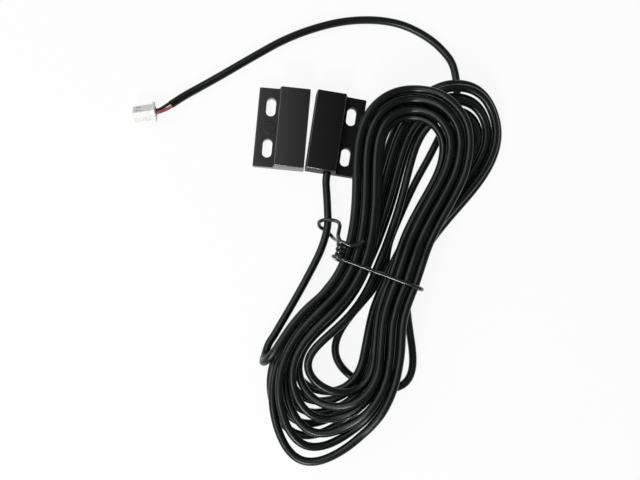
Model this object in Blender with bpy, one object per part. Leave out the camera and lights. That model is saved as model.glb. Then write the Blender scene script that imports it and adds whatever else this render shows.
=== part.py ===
"""Wired door contact: a reed switch half, a magnet half, and the switch's cable in a tied hank with its plug.

Metres, +Z out of the wall. The origin is on the switch half's back, midway between its two screw slots.
+Y runs along the housings, the cable leaves towards -Y, and the magnet half lies towards -X.
"""

from collections import namedtuple
from math import cos, floor, pi, radians, sin

import bmesh
import bpy
import numpy as np
from mathutils import Matrix, Vector

MM = 0.001

# Gap left between pieces that seat on each other
SEAT = 0.3 * MM
# How far a cutter runs past the face that it cuts
PAST = 1.0 * MM

# Housing moulding, the same for both halves, and the width across the pair with the gap between them
HOUSING_LENGTH = 36.0 * MM
PAIR_WIDTH = 47.8 * MM
PAIR_GAP = 1.3 * MM
BLOCK_HEIGHT = 10.0 * MM
FLANGE_REACH = 9.35 * MM
FLANGE_THICKNESS = 3.4 * MM
DRAFT = 0.35 * MM
EDGE_RADIUS = 0.45 * MM
EDGE_SEGMENTS = 2
WALL = 1.3 * MM
ROOF = 1.5 * MM
CAVITY_CORNER = 1.0 * MM

# Screw slots: their centre line is SLOT_INSET in from the flange's free edge
SLOT_WIDTH = 4.3 * MM
SLOT_LENGTH = 8.4 * MM
SLOT_SPACING = 18.7 * MM
SLOT_INSET = 5.95 * MM
SLOT_ARC_STEPS = 8

# Potting that closes the open back of each block
POTTING_RECESS = 0.4 * MM
POTTING_TOP = 2.9 * MM

# Where the magnet half lies beside the switch half
PAIR_SHIFT = -1.5 * MM
PAIR_TURN = radians(3.3)
BAR_LENGTH = 25.0 * MM
BAR_WIDTH = 5.5 * MM
BAR_EDGE = 0.3 * MM

# Reed capsule, along Y behind the block's sensing face, with the length that cores and lead leave it
REED_INSET = 3.7 * MM
CORE_ROOM = 4.1 * MM
BEND_ROOM = 5.2 * MM
GLASS_RADIUS = 1.375 * MM
GLASS_BORE = 1.0 * MM
GLASS_NECK = 0.85 * MM
SEAL_LENGTH = 1.6 * MM
LEAD_RADIUS = 0.3 * MM
LEAD_OUTSIDE = 2.6 * MM
LEAD_BEND = 1.7 * MM
BLADE_WIDTH = 1.0 * MM
BLADE_THICKNESS = 0.25 * MM
BLADE_OVERLAP = 1.6 * MM
BLADE_OFFSET = 0.3 * MM
ROUND_STEPS = 12

# Splices between the reed's leads and the cable's cores
SLEEVE_LENGTH = 5.0 * MM
SLEEVE_WALL = 0.3 * MM
CORE_RADIUS = 0.65 * MM
CORE_PITCH = 1.6 * MM

# Cable
CABLE_RADIUS = 1.75 * MM
CABLE_INSET = 3.7 * MM
JACKET_INSIDE = 3.0 * MM
FLOOR_GAP = 0.05 * MM
LEAD_SPACING = 4.4 * MM
TAIL_SPACING = 7.0 * MM

# Hank: its waist's middle, and the turn of its own axes (p across the waist, q along the loops)
HANK_PLACE = Vector((21.6 * MM, -59.3 * MM))
HANK_TURN = radians(-11.9)
# Each next loop lies half a row further out, on the other one of its layer's two levels
ROW_STEP = 2 * CABLE_RADIUS + 0.72 * MM
LOOP_STEP = ROW_STEP / 2
LEVEL_STEP = 2 * CABLE_RADIUS + 0.75 * MM
SWAP_TURNS = 0.2
WAIST_HALF = 2.0 * MM
# Steps left free beside the inmost strand, where it goes down from the upper layer to the lower one
UPPER_ROOM = 1.0
LOWER_ROOM = 0.5
ROOM_TURNS = 0.35
# Powers of the distance from the waist: how late the loops swell, lean aside and stretch further
LOBE_POWER = 2.5
LEAN_POWER = 1.3
REACH_POWER = 8
LOOP_POINTS = 48
REVERSAL = 6.0
LAST_RUN = 11.5
HANK_START = -3 / LOOP_POINTS
HANK_END = 12.0
CLIMB_TURNS = 0.28

# One layer of the hank: the inmost loop's reach, lean and half width at its top and bottom ends,
# and how much more each further loop reaches beyond one step
Layer = namedtuple("Layer", "top top_more top_lean top_half bottom bottom_more bottom_lean bottom_half")
UPPER_LAYER = Layer(67.2 * MM, 0.2 * MM, -6.0 * MM, 14.6 * MM, 50.5 * MM, 4.3 * MM, -4.4 * MM, 16.4 * MM)
LOWER_LAYER = Layer(77.5 * MM, 1.0 * MM, 11.0 * MM, 15.4 * MM, 52.0 * MM, 3.2 * MM, -9.0 * MM, 15.4 * MM)
# The last half loop, which turns back under the bundle to become the tail
FOLD_REACH = 47.8 * MM
FOLD_HALF = 20.8 * MM
FOLD_LEAN = 5.3 * MM
FOLD_POWER = 1.5

# Heights of the hank's centre lines: lower layer, upper layer above it, and what lifts them both
LAYER_LIFT = LEVEL_STEP + 2 * CABLE_RADIUS + 0.9 * MM
WAIST_RISE = 2.05 * MM
WAIST_RUN_OUT = 24.0 * MM
WAIST_RAMP = 18.0 * MM
CROSSING_RISE = 2 * CABLE_RADIUS + 0.8 * MM
CROSSING_RUN_OUT = 24.0 * MM
CROSSING_RAMP = 20.0 * MM

# Wire tie round the waist
TIE_RADIUS = 0.85 * MM
TIE_SPACING = 2.6 * MM
TIE_CLEAR = 0.5 * MM
TWIST_RADIUS = 1.15 * MM
TWIST_TURNS = 1.5
TWIST_POINTS = 8

# Plug, lying on one edge: its rear face's middle, heading and roll
PLUG_PLACE = Vector((-86.3 * MM, -2.7 * MM))
PLUG_HEADING = radians(197.7)
PLUG_ROLL = radians(48.0)
PLUG_LENGTH = 9.8 * MM
PLUG_BODY_WIDTH = 6.2 * MM
PLUG_BODY_HEIGHT = 4.8 * MM
PLUG_FLANGE_WIDTH = 7.6 * MM
PLUG_FLANGE_HEIGHT = 6.1 * MM
PLUG_FLANGE_THICKNESS = 1.0 * MM
PLUG_EDGE = 0.2 * MM
PLUG_PITCH = 2.5 * MM
CHANNEL_WIDTH = 1.9 * MM
CHANNEL_HEIGHT = 2.4 * MM
WINDOW_LENGTH = 2.4 * MM
WINDOW_WIDTH = 1.2 * MM
WINDOW_FROM_FRONT = 1.3 * MM
CONTACT_BOX_LENGTH = 5.2 * MM
CONTACT_BARREL_LENGTH = 2.0 * MM
CONTACT_SETBACK = 0.6 * MM
CONTACT_SHEET = 0.25 * MM
WIRE_RADIUS = 0.7 * MM
WIRE_SPACING = 1.6 * MM

# Places worked out from the sizes above
HOUSING_WIDTH = (PAIR_WIDTH - PAIR_GAP) / 2
BLOCK_WIDTH = HOUSING_WIDTH - FLANGE_REACH
BLOCK_NEAR = SLOT_INSET - FLANGE_REACH
BLOCK_FAR = BLOCK_NEAR - BLOCK_WIDTH
MAGNET_HALF_PLACE = Vector((2 * BLOCK_FAR - PAIR_GAP, PAIR_SHIFT, 0.0))
HALF_LENGTH = HOUSING_LENGTH / 2
CAVITY_END = HALF_LENGTH - WALL
SEAT_TOP = POTTING_TOP + SEAT
CABLE_HEIGHT = SEAT_TOP + CABLE_RADIUS
CABLE_X = BLOCK_NEAR - CABLE_INSET
JACKET_END = JACKET_INSIDE - CAVITY_END
REED_X = BLOCK_FAR + REED_INSET
REED_HEIGHT = SEAT_TOP + GLASS_RADIUS
GLASS_LOW = JACKET_END + CORE_ROOM + SLEEVE_LENGTH / 2 + LEAD_OUTSIDE
GLASS_HIGH = CAVITY_END - BEND_ROOM
REED_MIDDLE = (GLASS_LOW + GLASS_HIGH) / 2
BLADE_ROOT = GLASS_HIGH - SEAL_LENGTH - SEAT
BAR_HEIGHT = BLOCK_HEIGHT - ROOF - SEAT - SEAT_TOP
LAID = CABLE_RADIUS + FLOOR_GAP
TIE_FLOOR = TIE_RADIUS + FLOOR_GAP
WAIST_LEVEL = LAID + WAIST_RISE
UPPER_WAIST_LEVEL = WAIST_LEVEL + LAYER_LIFT + LEVEL_STEP
TIE_REACH = CABLE_RADIUS + TIE_CLEAR + TIE_RADIUS
TIE_TOP = UPPER_WAIST_LEVEL + TIE_REACH
TAIL_SLOT = WAIST_HALF
WAIST_LEFT = WAIST_HALF + LOOP_STEP * (REVERSAL + UPPER_ROOM)
WAIST_RIGHT = WAIST_HALF + LOOP_STEP * (LAST_RUN - REVERSAL + LOWER_ROOM)
UPPER_WAIST_RIGHT = WAIST_LEFT - LOOP_STEP / 2

# Routes chosen by hand, in millimetres: x, y, and the centre line's height
LEAD_ROUTE = (
    (-6.2, -26.0, 4.7),
    (-4.7, -33.0, 4.2),
    (-3.4, -41.5, 4.0),
    (-4.5, -51.4, 3.0),
    (-8.6, -64.7, 1.9),
    (-14.2, -79.6, 1.9),
    (-17.6, -88.0, 1.85),
    (-19.6, -93.0, 1.85),
    (-21.4, -97.0, 1.9),
    (-22.3, -101.9, 3.5),
    (-22.6, -104.4, 8.4),
    (-21.0, -102.6, 13.4),
    (-18.4, -98.2, 15.8),
    (-16.1, -93.2, 16.2),
    (-13.5, -87.8, 16.1),
    (-10.6, -82.8, 16.0),
    (-7.4, -78.2, 15.9),
)
TAIL_ROUTE = (
    (25.4, -44.6, 2.6),
    (28.6, -31.6, 1.85),
    (33.2, -16.0, 1.8),
    (38.5, -1.6, 1.8),
    (44.6, 17.6, 1.8),
    (46.6, 27.1, 1.8),
    (45.3, 34.6, 1.8),
    (42.0, 42.2, 1.8),
    (35.9, 47.9, 1.8),
    (31.0, 50.9, 1.8),
    (23.7, 53.9, 1.8),
    (16.4, 55.6, 1.8),
    (8.0, 55.9, 1.8),
    (-0.3, 54.9, 1.8),
    (-9.2, 52.7, 1.8),
    (-18.0, 49.3, 1.8),
    (-28.6, 43.8, 1.8),
    (-37.0, 38.3, 1.8),
    (-45.2, 31.8, 1.8),
    (-53.3, 25.1, 1.8),
    (-61.3, 18.4, 1.8),
    (-69.4, 11.8, 1.9),
    (-75.3, 6.8, 2.6),
    (-80.6, 1.6, 3.6),
)


def clear_scene():
    """Removes every object that the file opened with."""
    for item in list(bpy.data.objects):
        bpy.data.objects.remove(item, do_unlink=True)


def material(name, colour, roughness, metallic=0.0, alpha=1.0):
    """Makes a plain surface from an sRGB hex colour."""
    parts = [int(colour[i:i + 2], 16) / 255 for i in (0, 2, 4)]
    linear = [c / 12.92 if c <= 0.04045 else ((c + 0.055) / 1.055) ** 2.4 for c in parts]
    surface = bpy.data.materials.new(name)
    surface.use_nodes = True
    shader = surface.node_tree.nodes["Principled BSDF"]
    shader.inputs["Base Color"].default_value = (*linear, 1.0)
    shader.inputs["Roughness"].default_value = roughness
    shader.inputs["Metallic"].default_value = metallic
    shader.inputs["Alpha"].default_value = alpha
    return surface


def empty(name, place, turn=0.0, parent=None):
    """Adds an empty that carries the pieces of one body."""
    frame = bpy.data.objects.new(name, None)
    frame.location = place
    frame.rotation_euler = (0.0, 0.0, turn)
    frame.parent = parent
    bpy.context.scene.collection.objects.link(frame)
    return frame


def add_mesh(name, mesh_data, surface=None, parent=None):
    """Adds a mesh object from a bmesh, with its faces turned outwards."""
    bmesh.ops.recalc_face_normals(mesh_data, faces=mesh_data.faces)
    mesh = bpy.data.meshes.new(name)
    mesh_data.to_mesh(mesh)
    mesh_data.free()
    piece = bpy.data.objects.new(name, mesh)
    bpy.context.scene.collection.objects.link(piece)
    piece.parent = parent
    if surface:
        mesh.materials.append(surface)
    return piece


def shade_round(piece):
    """Shades a round piece smooth, with its edges left sharp."""
    piece.data.shade_smooth()
    piece.data.set_sharp_from_angle(angle=radians(40))


def cut(piece, cutter, operation="DIFFERENCE"):
    """Cuts a piece with another mesh, or joins the two, and hides the cutter."""
    step = piece.modifiers.new(cutter.name, "BOOLEAN")
    step.operation = operation
    step.solver = "EXACT"
    step.object = cutter
    cutter.parent = piece.parent
    cutter.hide_render = True
    cutter.display_type = "WIRE"


def skin(rings, closed=False):
    """Joins rings of points that have the same count, and caps the ends of an open run."""
    shape = bmesh.new()
    loops = [[shape.verts.new(point) for point in ring] for ring in rings]
    pairs = list(zip(loops, loops[1:] + loops[:1])) if closed else list(zip(loops, loops[1:]))
    for low, high in pairs:
        for i in range(len(low)):
            j = (i + 1) % len(low)
            shape.faces.new((low[i], low[j], high[j], high[i]))
    if not closed:
        shape.faces.new(list(reversed(loops[0])))
        shape.faces.new(loops[-1])
    return shape


def box(low, high, edge=0.0):
    """Makes a box between two corners, with its edges eased by a chamfer."""
    shape = bmesh.new()
    bmesh.ops.create_cube(shape, size=1.0)
    low, high = Vector(low), Vector(high)
    for vert in shape.verts:
        share = vert.co + Vector((0.5, 0.5, 0.5))
        vert.co = Vector(low[i] + share[i] * (high[i] - low[i]) for i in range(3))
    if edge:
        bmesh.ops.bevel(shape, geom=list(shape.edges), offset=edge, segments=1, affect="EDGES")
    return shape


def upright_prism(outline, low, high):
    """Makes a prism that stands on an outline in X and Y."""
    return skin([[(x, y, z) for x, y in outline] for z in (low, high)])


def rounded_rectangle(half_x, half_y, radius, steps=3):
    """Gives the outline of a rectangle with round corners."""
    outline = []
    for quarter, (sx, sy) in enumerate(((1, 1), (-1, 1), (-1, -1), (1, -1))):
        for i in range(steps + 1):
            angle = (quarter + i / steps) * pi / 2
            corner_x = sx * (half_x - radius) + radius * cos(angle)
            corner_y = sy * (half_y - radius) + radius * sin(angle)
            outline.append((corner_x, corner_y))
    return outline


def ring_along_y(radius_x, radius_z, x, y, z, steps=ROUND_STEPS):
    """Gives a ring of points round a line along Y."""
    turns = [2 * pi * i / steps for i in range(steps)]
    return [(x + radius_x * cos(a), y, z + radius_z * sin(a)) for a in turns]


def turned_along_y(profile, x, z):
    """Turns a closed profile of (radius, y) points into a hollow round piece along Y."""
    return skin([ring_along_y(radius, radius, x, y, z) for radius, y in profile], closed=True)


def smooth_step(value):
    """Rises from 0 to 1 with no corner at either end."""
    value = min(max(value, 0.0), 1.0)
    return value ** 3 * (10 - 15 * value + 6 * value * value)


def curve_through(points, steps=24):
    """Reads a smooth curve that passes through each of the given points."""
    points = [Vector(p) for p in points]
    ends = [2 * points[0] - points[1]] + points + [2 * points[-1] - points[-2]]
    path = []
    for i in range(1, len(ends) - 2):
        before, start, stop, after = ends[i - 1:i + 3]
        knots = [0.0]
        for a, b in ((before, start), (start, stop), (stop, after)):
            knots.append(knots[-1] + (b - a).length ** 0.5)
        t0, t1, t2, t3 = knots
        for step in range(steps):
            t = t1 + (t2 - t1) * step / steps
            a1 = before.lerp(start, (t - t0) / (t1 - t0))
            a2 = start.lerp(stop, (t - t1) / (t2 - t1))
            a3 = stop.lerp(after, (t - t2) / (t3 - t2))
            b1 = a1.lerp(a2, (t - t0) / (t2 - t0))
            b2 = a2.lerp(a3, (t - t1) / (t3 - t1))
            path.append(b1.lerp(b2, (t - t1) / (t2 - t1)))
    return path + [points[-1]]


def even_points(path, spacing):
    """Spreads points evenly along a path, about one spacing apart."""
    lengths = [0.0]
    for a, b in zip(path, path[1:]):
        lengths.append(lengths[-1] + (b - a).length)
    count = max(2, round(lengths[-1] / spacing))
    points, k = [], 0
    for i in range(count + 1):
        along = lengths[-1] * i / count
        while k < len(path) - 2 and lengths[k + 1] < along:
            k += 1
        share = (along - lengths[k]) / (lengths[k + 1] - lengths[k])
        points.append(path[k].lerp(path[k + 1], share))
    return points


def tube(name, points, radius, surface, parent, resolution=2):
    """Adds a round tube with filled ends along a run of points."""
    data = bpy.data.curves.new(name, "CURVE")
    data.dimensions = "3D"
    data.bevel_depth = radius
    data.bevel_resolution = resolution
    data.use_fill_caps = True
    run = data.splines.new("POLY")
    run.points.add(len(points) - 1)
    for point, place in zip(run.points, points):
        point.co = (*place, 1.0)
    data.materials.append(surface)
    piece = bpy.data.objects.new(name, data)
    piece.parent = parent
    bpy.context.scene.collection.objects.link(piece)
    return piece


def housing(name, side, surface, parent, cable_hole=False):
    """Moulds one half: a drafted block, its slotted flange and a cavity open at the back.

    side is 1 with the flange towards +X and -1 with it towards -X.
    """
    taper = DRAFT / BLOCK_HEIGHT
    step_x = BLOCK_NEAR - taper * FLANGE_THICKNESS
    edge_x = SLOT_INSET - taper * FLANGE_THICKNESS
    profile = (
        (SLOT_INSET, 0.0),
        (edge_x, FLANGE_THICKNESS),
        (step_x, FLANGE_THICKNESS),
        (BLOCK_NEAR - DRAFT, BLOCK_HEIGHT),
        (BLOCK_FAR + DRAFT, BLOCK_HEIGHT),
        (BLOCK_FAR, 0.0),
    )
    rings = [[(side * x, end * (HALF_LENGTH - taper * z), z) for x, z in profile] for end in (-1, 1)]
    shell = skin(rings)
    outer = [e for e in shell.edges if any(v.co.z > 0 for v in e.verts)]
    inner_corner = [
        e for e in outer
        if all(abs(v.co.z - FLANGE_THICKNESS) < EDGE_RADIUS and abs(v.co.x - side * step_x) < EDGE_RADIUS
               for v in e.verts)
    ]
    rounded = [e for e in outer if e not in inner_corner]
    bmesh.ops.bevel(
        shell, geom=rounded, offset=EDGE_RADIUS, segments=EDGE_SEGMENTS, profile=0.5, affect="EDGES",
        clamp_overlap=True,
    )
    piece = add_mesh(name, shell, surface, parent)

    half = (BLOCK_WIDTH / 2 - WALL, CAVITY_END)
    outline = rounded_rectangle(*half, CAVITY_CORNER)
    middle = side * (BLOCK_NEAR + BLOCK_FAR) / 2
    outline = [(middle + x, y) for x, y in outline]
    cut(piece, add_mesh(name + "_cavity", upright_prism(outline, -PAST, BLOCK_HEIGHT - ROOF)))

    for end in (-1, 1):
        radius = SLOT_WIDTH / 2
        straight = (SLOT_LENGTH - SLOT_WIDTH) / 2
        arc = [pi * i / SLOT_ARC_STEPS for i in range(SLOT_ARC_STEPS + 1)]
        upper = [(radius * cos(a), straight + radius * sin(a)) for a in arc]
        lower = [(-x, -y) for x, y in upper]
        outline = [(x, y + end * SLOT_SPACING / 2) for x, y in upper + lower]
        prism = upright_prism(outline, -PAST, FLANGE_THICKNESS + PAST)
        cut(piece, add_mesh(f"{name}_slot_{'low' if end < 0 else 'high'}", prism))

    if cable_hole:
        ends = (-HALF_LENGTH - PAST, -CAVITY_END + PAST)
        radius = CABLE_RADIUS + SEAT
        rings = [ring_along_y(radius, radius, CABLE_X, y, CABLE_HEIGHT) for y in ends]
        cut(piece, add_mesh(name + "_cable_hole", skin(rings)))
    return piece


def potting(name, side, surface, parent):
    """Fills the back of a housing's cavity."""
    half = (BLOCK_WIDTH / 2 - WALL - SEAT, CAVITY_END - SEAT)
    middle = side * (BLOCK_NEAR + BLOCK_FAR) / 2
    outline = [(middle + x, y) for x, y in rounded_rectangle(*half, CAVITY_CORNER - SEAT)]
    return add_mesh(name, upright_prism(outline, POTTING_RECESS, POTTING_TOP), surface, parent)


def bar_magnet(surface, parent):
    """Lays the bar magnet on the potting, against the sensing wall."""
    far = -(BLOCK_FAR + WALL + SEAT)
    low = (far - BAR_WIDTH, -BAR_LENGTH / 2, SEAT_TOP)
    high = (far, BAR_LENGTH / 2, SEAT_TOP + BAR_HEIGHT)
    return add_mesh("bar_magnet", box(low, high, BAR_EDGE), surface, parent)


def reed_glass(surface, parent):
    """Blows the glass capsule: a tube drawn in to a neck at each seal."""
    hole = LEAD_RADIUS + SEAT
    outer = [
        (GLASS_NECK, GLASS_LOW),
        (GLASS_RADIUS, GLASS_LOW + SEAL_LENGTH / 2),
        (GLASS_RADIUS, GLASS_HIGH - SEAL_LENGTH / 2),
        (GLASS_NECK, GLASS_HIGH),
    ]
    inner = [
        (hole, GLASS_HIGH),
        (hole, GLASS_HIGH - SEAL_LENGTH),
        (GLASS_BORE, GLASS_HIGH - 1.5 * SEAL_LENGTH),
        (GLASS_BORE, GLASS_LOW + 1.5 * SEAL_LENGTH),
        (hole, GLASS_LOW + SEAL_LENGTH),
        (hole, GLASS_LOW),
    ]
    piece = add_mesh("reed_glass", turned_along_y(outer + inner, REED_X, REED_HEIGHT), surface, parent)
    shade_round(piece)
    return piece


def blade_rings(stations):
    """Gives a reed's sections: (y, half width, half thickness, offset up) at each station."""
    return [ring_along_y(w, t, REED_X, y, REED_HEIGHT + up, 8) for y, w, t, up in stations]


def reed_leads(surface, switch, pivot):
    """Makes the fixed reed, the moving reed's lead and the moving blade between them."""
    flat = (BLADE_WIDTH / 2, BLADE_THICKNESS / 2)
    inside_low = GLASS_LOW + SEAL_LENGTH
    wide_low = GLASS_LOW + 1.5 * SEAL_LENGTH
    fixed_tip = REED_MIDDLE + BLADE_OVERLAP / 2
    fixed = blade_rings((
        (GLASS_LOW - LEAD_OUTSIDE, LEAD_RADIUS, LEAD_RADIUS, 0.0),
        (inside_low, LEAD_RADIUS, LEAD_RADIUS, 0.0),
        (wide_low, *flat, -BLADE_OFFSET),
        (fixed_tip, *flat, -BLADE_OFFSET),
    ))
    add_mesh("reed_lead_fixed", skin(fixed), surface, switch)

    moving_tip = REED_MIDDLE - BLADE_OVERLAP / 2
    wide_high = GLASS_HIGH - 1.5 * SEAL_LENGTH
    blade = blade_rings((
        (moving_tip, *flat, BLADE_OFFSET),
        (wide_high, *flat, BLADE_OFFSET),
        (BLADE_ROOT, LEAD_RADIUS, BLADE_THICKNESS / 2, 0.0),
    ))
    root = Vector((REED_X, BLADE_ROOT, REED_HEIGHT))
    shape = skin(blade)
    bmesh.ops.translate(shape, verts=shape.verts, vec=-root)
    add_mesh("reed_blade", shape, surface, pivot)

    top = GLASS_HIGH + LEAD_OUTSIDE / 2
    bend = [
        (REED_X + LEAD_BEND * (1 - cos(a)), top + LEAD_BEND * sin(a), REED_HEIGHT)
        for a in (pi * i / 8 for i in range(9))
    ]
    lead_back = (REED_X + 2 * LEAD_BEND, GLASS_HIGH - LEAD_OUTSIDE / 2, REED_HEIGHT)
    run = [(REED_X, BLADE_ROOT + SEAT, REED_HEIGHT), *bend, lead_back]
    tube("reed_lead_moving", run, LEAD_RADIUS, surface, switch)
    return lead_back


def splice(name, x, lead_end, heading, surface, parent):
    """Slides a sleeve over the meeting of a lead and a core; heading is the way that the core leaves."""
    bore = CORE_RADIUS + SEAT
    start = lead_end - heading * SLEEVE_LENGTH / 2
    stop = lead_end + heading * SLEEVE_LENGTH / 2
    outside = bore + SLEEVE_WALL
    profile = ((outside, start), (outside, stop), (bore, stop), (bore, start))
    piece = add_mesh(name, turned_along_y(profile, x, REED_HEIGHT), surface, parent)
    shade_round(piece)
    return lead_end + heading * SEAT


def inner_wiring(lead_back, sleeve_surface, red, black, parent):
    """Joins the reed's two leads to the cable's two cores inside the switch half."""
    core_start = JACKET_END + SEAT
    red_x = CABLE_X - CORE_PITCH / 2
    black_x = CABLE_X + CORE_PITCH / 2
    red_end = splice("splice_sleeve_red", REED_X, GLASS_LOW - LEAD_OUTSIDE, -1, sleeve_surface, parent)
    black_end = splice("splice_sleeve_black", lead_back[0], lead_back[1], -1, sleeve_surface, parent)
    sleeve_out = SLEEVE_LENGTH / 2
    red_run = (
        (red_x, core_start, CABLE_HEIGHT),
        (red_x, core_start + CORE_PITCH / 2, CABLE_HEIGHT),
        (red_x - CORE_PITCH / 2, core_start + CORE_PITCH * 1.2, CABLE_HEIGHT),
        ((red_x + REED_X) / 2, core_start + CORE_PITCH * 1.4, (CABLE_HEIGHT + REED_HEIGHT) / 2),
        (REED_X + CORE_PITCH / 4, red_end - sleeve_out - CORE_PITCH / 4, REED_HEIGHT),
        (REED_X, red_end - sleeve_out / 2, REED_HEIGHT),
        (REED_X, red_end, REED_HEIGHT),
    )
    black_run = (
        (black_x, core_start, CABLE_HEIGHT),
        (black_x, core_start + 2 * CORE_PITCH, CABLE_HEIGHT),
        ((black_x + lead_back[0]) / 2, (core_start + black_end) / 2, (CABLE_HEIGHT + REED_HEIGHT) / 2),
        (lead_back[0], black_end - sleeve_out - CORE_PITCH, REED_HEIGHT),
        (lead_back[0], black_end - sleeve_out / 2, REED_HEIGHT),
        (lead_back[0], black_end, REED_HEIGHT),
    )
    for name, run, surface in (("inner_core_red", red_run, red), ("inner_core_black", black_run, black)):
        tube(name, even_points(curve_through(run), 2 * CORE_RADIUS), CORE_RADIUS, surface, parent)


def hank_axes(p, q):
    """Turns a place in the hank's own axes into X and Y."""
    x = HANK_PLACE.x + p * cos(HANK_TURN) - q * sin(HANK_TURN)
    y = HANK_PLACE.y + p * sin(HANK_TURN) + q * cos(HANK_TURN)
    return Vector((x, y))


def drawn_in(angle, waist, half, lean, power):
    """Gives a loop's place across the hank: from its waist, it swells to its half width and leans aside."""
    share = abs(sin(angle)) ** power
    fullest = 2 * half - waist * 2 ** 0.5
    return cos(angle) * (waist + fullest * share) + lean * abs(sin(angle)) ** LEAN_POWER


def inmost_loop(angle, layer):
    """Gives a place on a layer's inmost loop, in the hank's own axes."""
    depth = sin(angle)
    if depth >= 0:
        reach, lean, half = layer.top, layer.top_lean, layer.top_half
    else:
        reach, lean, half = layer.bottom, layer.bottom_lean, layer.bottom_half
    return Vector((drawn_in(angle, WAIST_HALF, half, lean, LOBE_POWER), reach * depth))


def went_down(turn):
    """Gives how far the cable has gone down from the upper layer to the lower one, from 0 to 1."""
    return smooth_step((turn - REVERSAL) / CLIMB_TURNS + 0.5)


def on_top(turn):
    """Gives 1 on a layer's upper level and 0 on its lower one: the loops change over at their lower ends."""
    swap = floor(turn - 0.25)
    done = smooth_step((turn - 0.75 - swap) / SWAP_TURNS + 0.5)
    return done if swap % 2 else 1 - done


def loop_place(turn):
    """Gives the hank's centre line at a turn: it spirals in on the upper layer and out on the lower one."""
    angle = pi - 2 * pi * turn
    if turn > LAST_RUN:
        middle, waist = (WAIST_RIGHT + TAIL_SLOT) / 2, (WAIST_RIGHT - TAIL_SLOT) / 2
        across = drawn_in(angle, waist, FOLD_HALF, FOLD_LEAN, FOLD_POWER)
        return Vector((middle + across, FOLD_REACH * sin(angle)))
    layer = LOWER_LAYER if turn >= REVERSAL else UPPER_LAYER
    loops_out = abs(turn - REVERSAL)
    room = LOWER_ROOM if turn >= REVERSAL else UPPER_ROOM
    steps_out = loops_out + room * smooth_step(loops_out / ROOM_TURNS)
    nudge = 0.0001
    along = inmost_loop(angle - nudge, layer) - inmost_loop(angle + nudge, layer)
    outwards = Vector((-along.y, along.x)).normalized()
    depth = sin(angle)
    more = layer.top_more if depth >= 0 else -layer.bottom_more
    further = Vector((0, more * loops_out * depth ** REACH_POWER))
    return inmost_loop(angle, layer) + outwards * LOOP_STEP * steps_out + further


def crossed_runs():
    """Gives places along the strands that the bundle lies on: the last fold and the tail's way out."""
    turns = [LAST_RUN + (HANK_END - LAST_RUN) * i / 40 for i in range(41)]
    fold = [hank_axes(*place) for place in map(loop_place, turns) if place.y < -FOLD_REACH * 0.56]
    tail = [Vector(point[:2]) * MM for point in TAIL_ROUTE[4:7]]
    way_out = [a.lerp(b, i / 8) for a, b in zip(tail, tail[1:]) for i in range(9)]
    return fold + way_out


def loop_height(turn, place, runs):
    """Gives the centre line's height: its layer's level, lifted at the waist and over the crossed strands."""
    waist = WAIST_RISE * smooth_step((WAIST_RUN_OUT - abs(place.y)) / WAIST_RAMP)
    if turn > LAST_RUN:
        return LAID + waist
    spot = hank_axes(*place)
    nearest = min((spot - run).length for run in runs)
    lifted = smooth_step((CROSSING_RUN_OUT - nearest) / CROSSING_RAMP)
    level = LAYER_LIFT * (1 - went_down(turn)) + LEVEL_STEP * on_top(turn)
    return LAID + CROSSING_RISE * lifted + waist * (1 - lifted) + level


def hank_points():
    """Lays the hank's loops as one unbroken run of points."""
    runs = crossed_runs()
    points = []
    for i in range(round((HANK_END - HANK_START) * LOOP_POINTS) + 1):
        turn = HANK_START + i / LOOP_POINTS
        place = loop_place(turn)
        points.append(Vector((*hank_axes(*place), loop_height(turn, place, runs))))
    return points


def least_self_gap(points):
    """Measures the least gap between the tube's own strands, on points spread along its chords."""
    per_chord = 6
    chords = zip(points, points[1:])
    spread = np.array([a.lerp(b, i / per_chord) for a, b in chords for i in range(per_chord)])
    apart = 4 * per_chord
    return min(
        np.linalg.norm(spread[i + apart:] - spread[i], axis=1).min() for i in range(len(spread) - apart)
    ) - 2 * CABLE_RADIUS


def cable(surface, parent):
    """Lays the cable: the lead out of the switch half, the hank and the tail to the plug."""
    hank = hank_points()
    gap = least_self_gap(hank)
    print(f"least gap of the hank to itself: {gap / MM:.2f} mm")
    tube("cable_hank", hank, CABLE_RADIUS, surface, parent, resolution=1)

    straight = 2 * CABLE_RADIUS
    lead_start = [Vector((CABLE_X, y, CABLE_HEIGHT)) for y in (JACKET_END, -HALF_LENGTH - straight)]
    heading = (hank[1] - hank[0]).normalized()
    into_hank = hank[0] - heading * SEAT
    lead = lead_start + [Vector(p) * MM for p in LEAD_ROUTE] + [into_hank - heading * straight]
    lead_points = even_points(curve_through(lead), LEAD_SPACING) + [into_hank]
    tube("cable_lead", lead_points, CABLE_RADIUS, surface, parent)

    heading = (hank[-1] - hank[-2]).normalized()
    out_of_hank = hank[-1] + heading * SEAT
    tail = [out_of_hank + heading * straight] + [Vector(p) * MM for p in TAIL_ROUTE]
    tail_points = [out_of_hank] + even_points(curve_through(tail), TAIL_SPACING)
    tube("cable_tail", tail_points, CABLE_RADIUS, surface, parent)
    return tail_points


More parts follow.
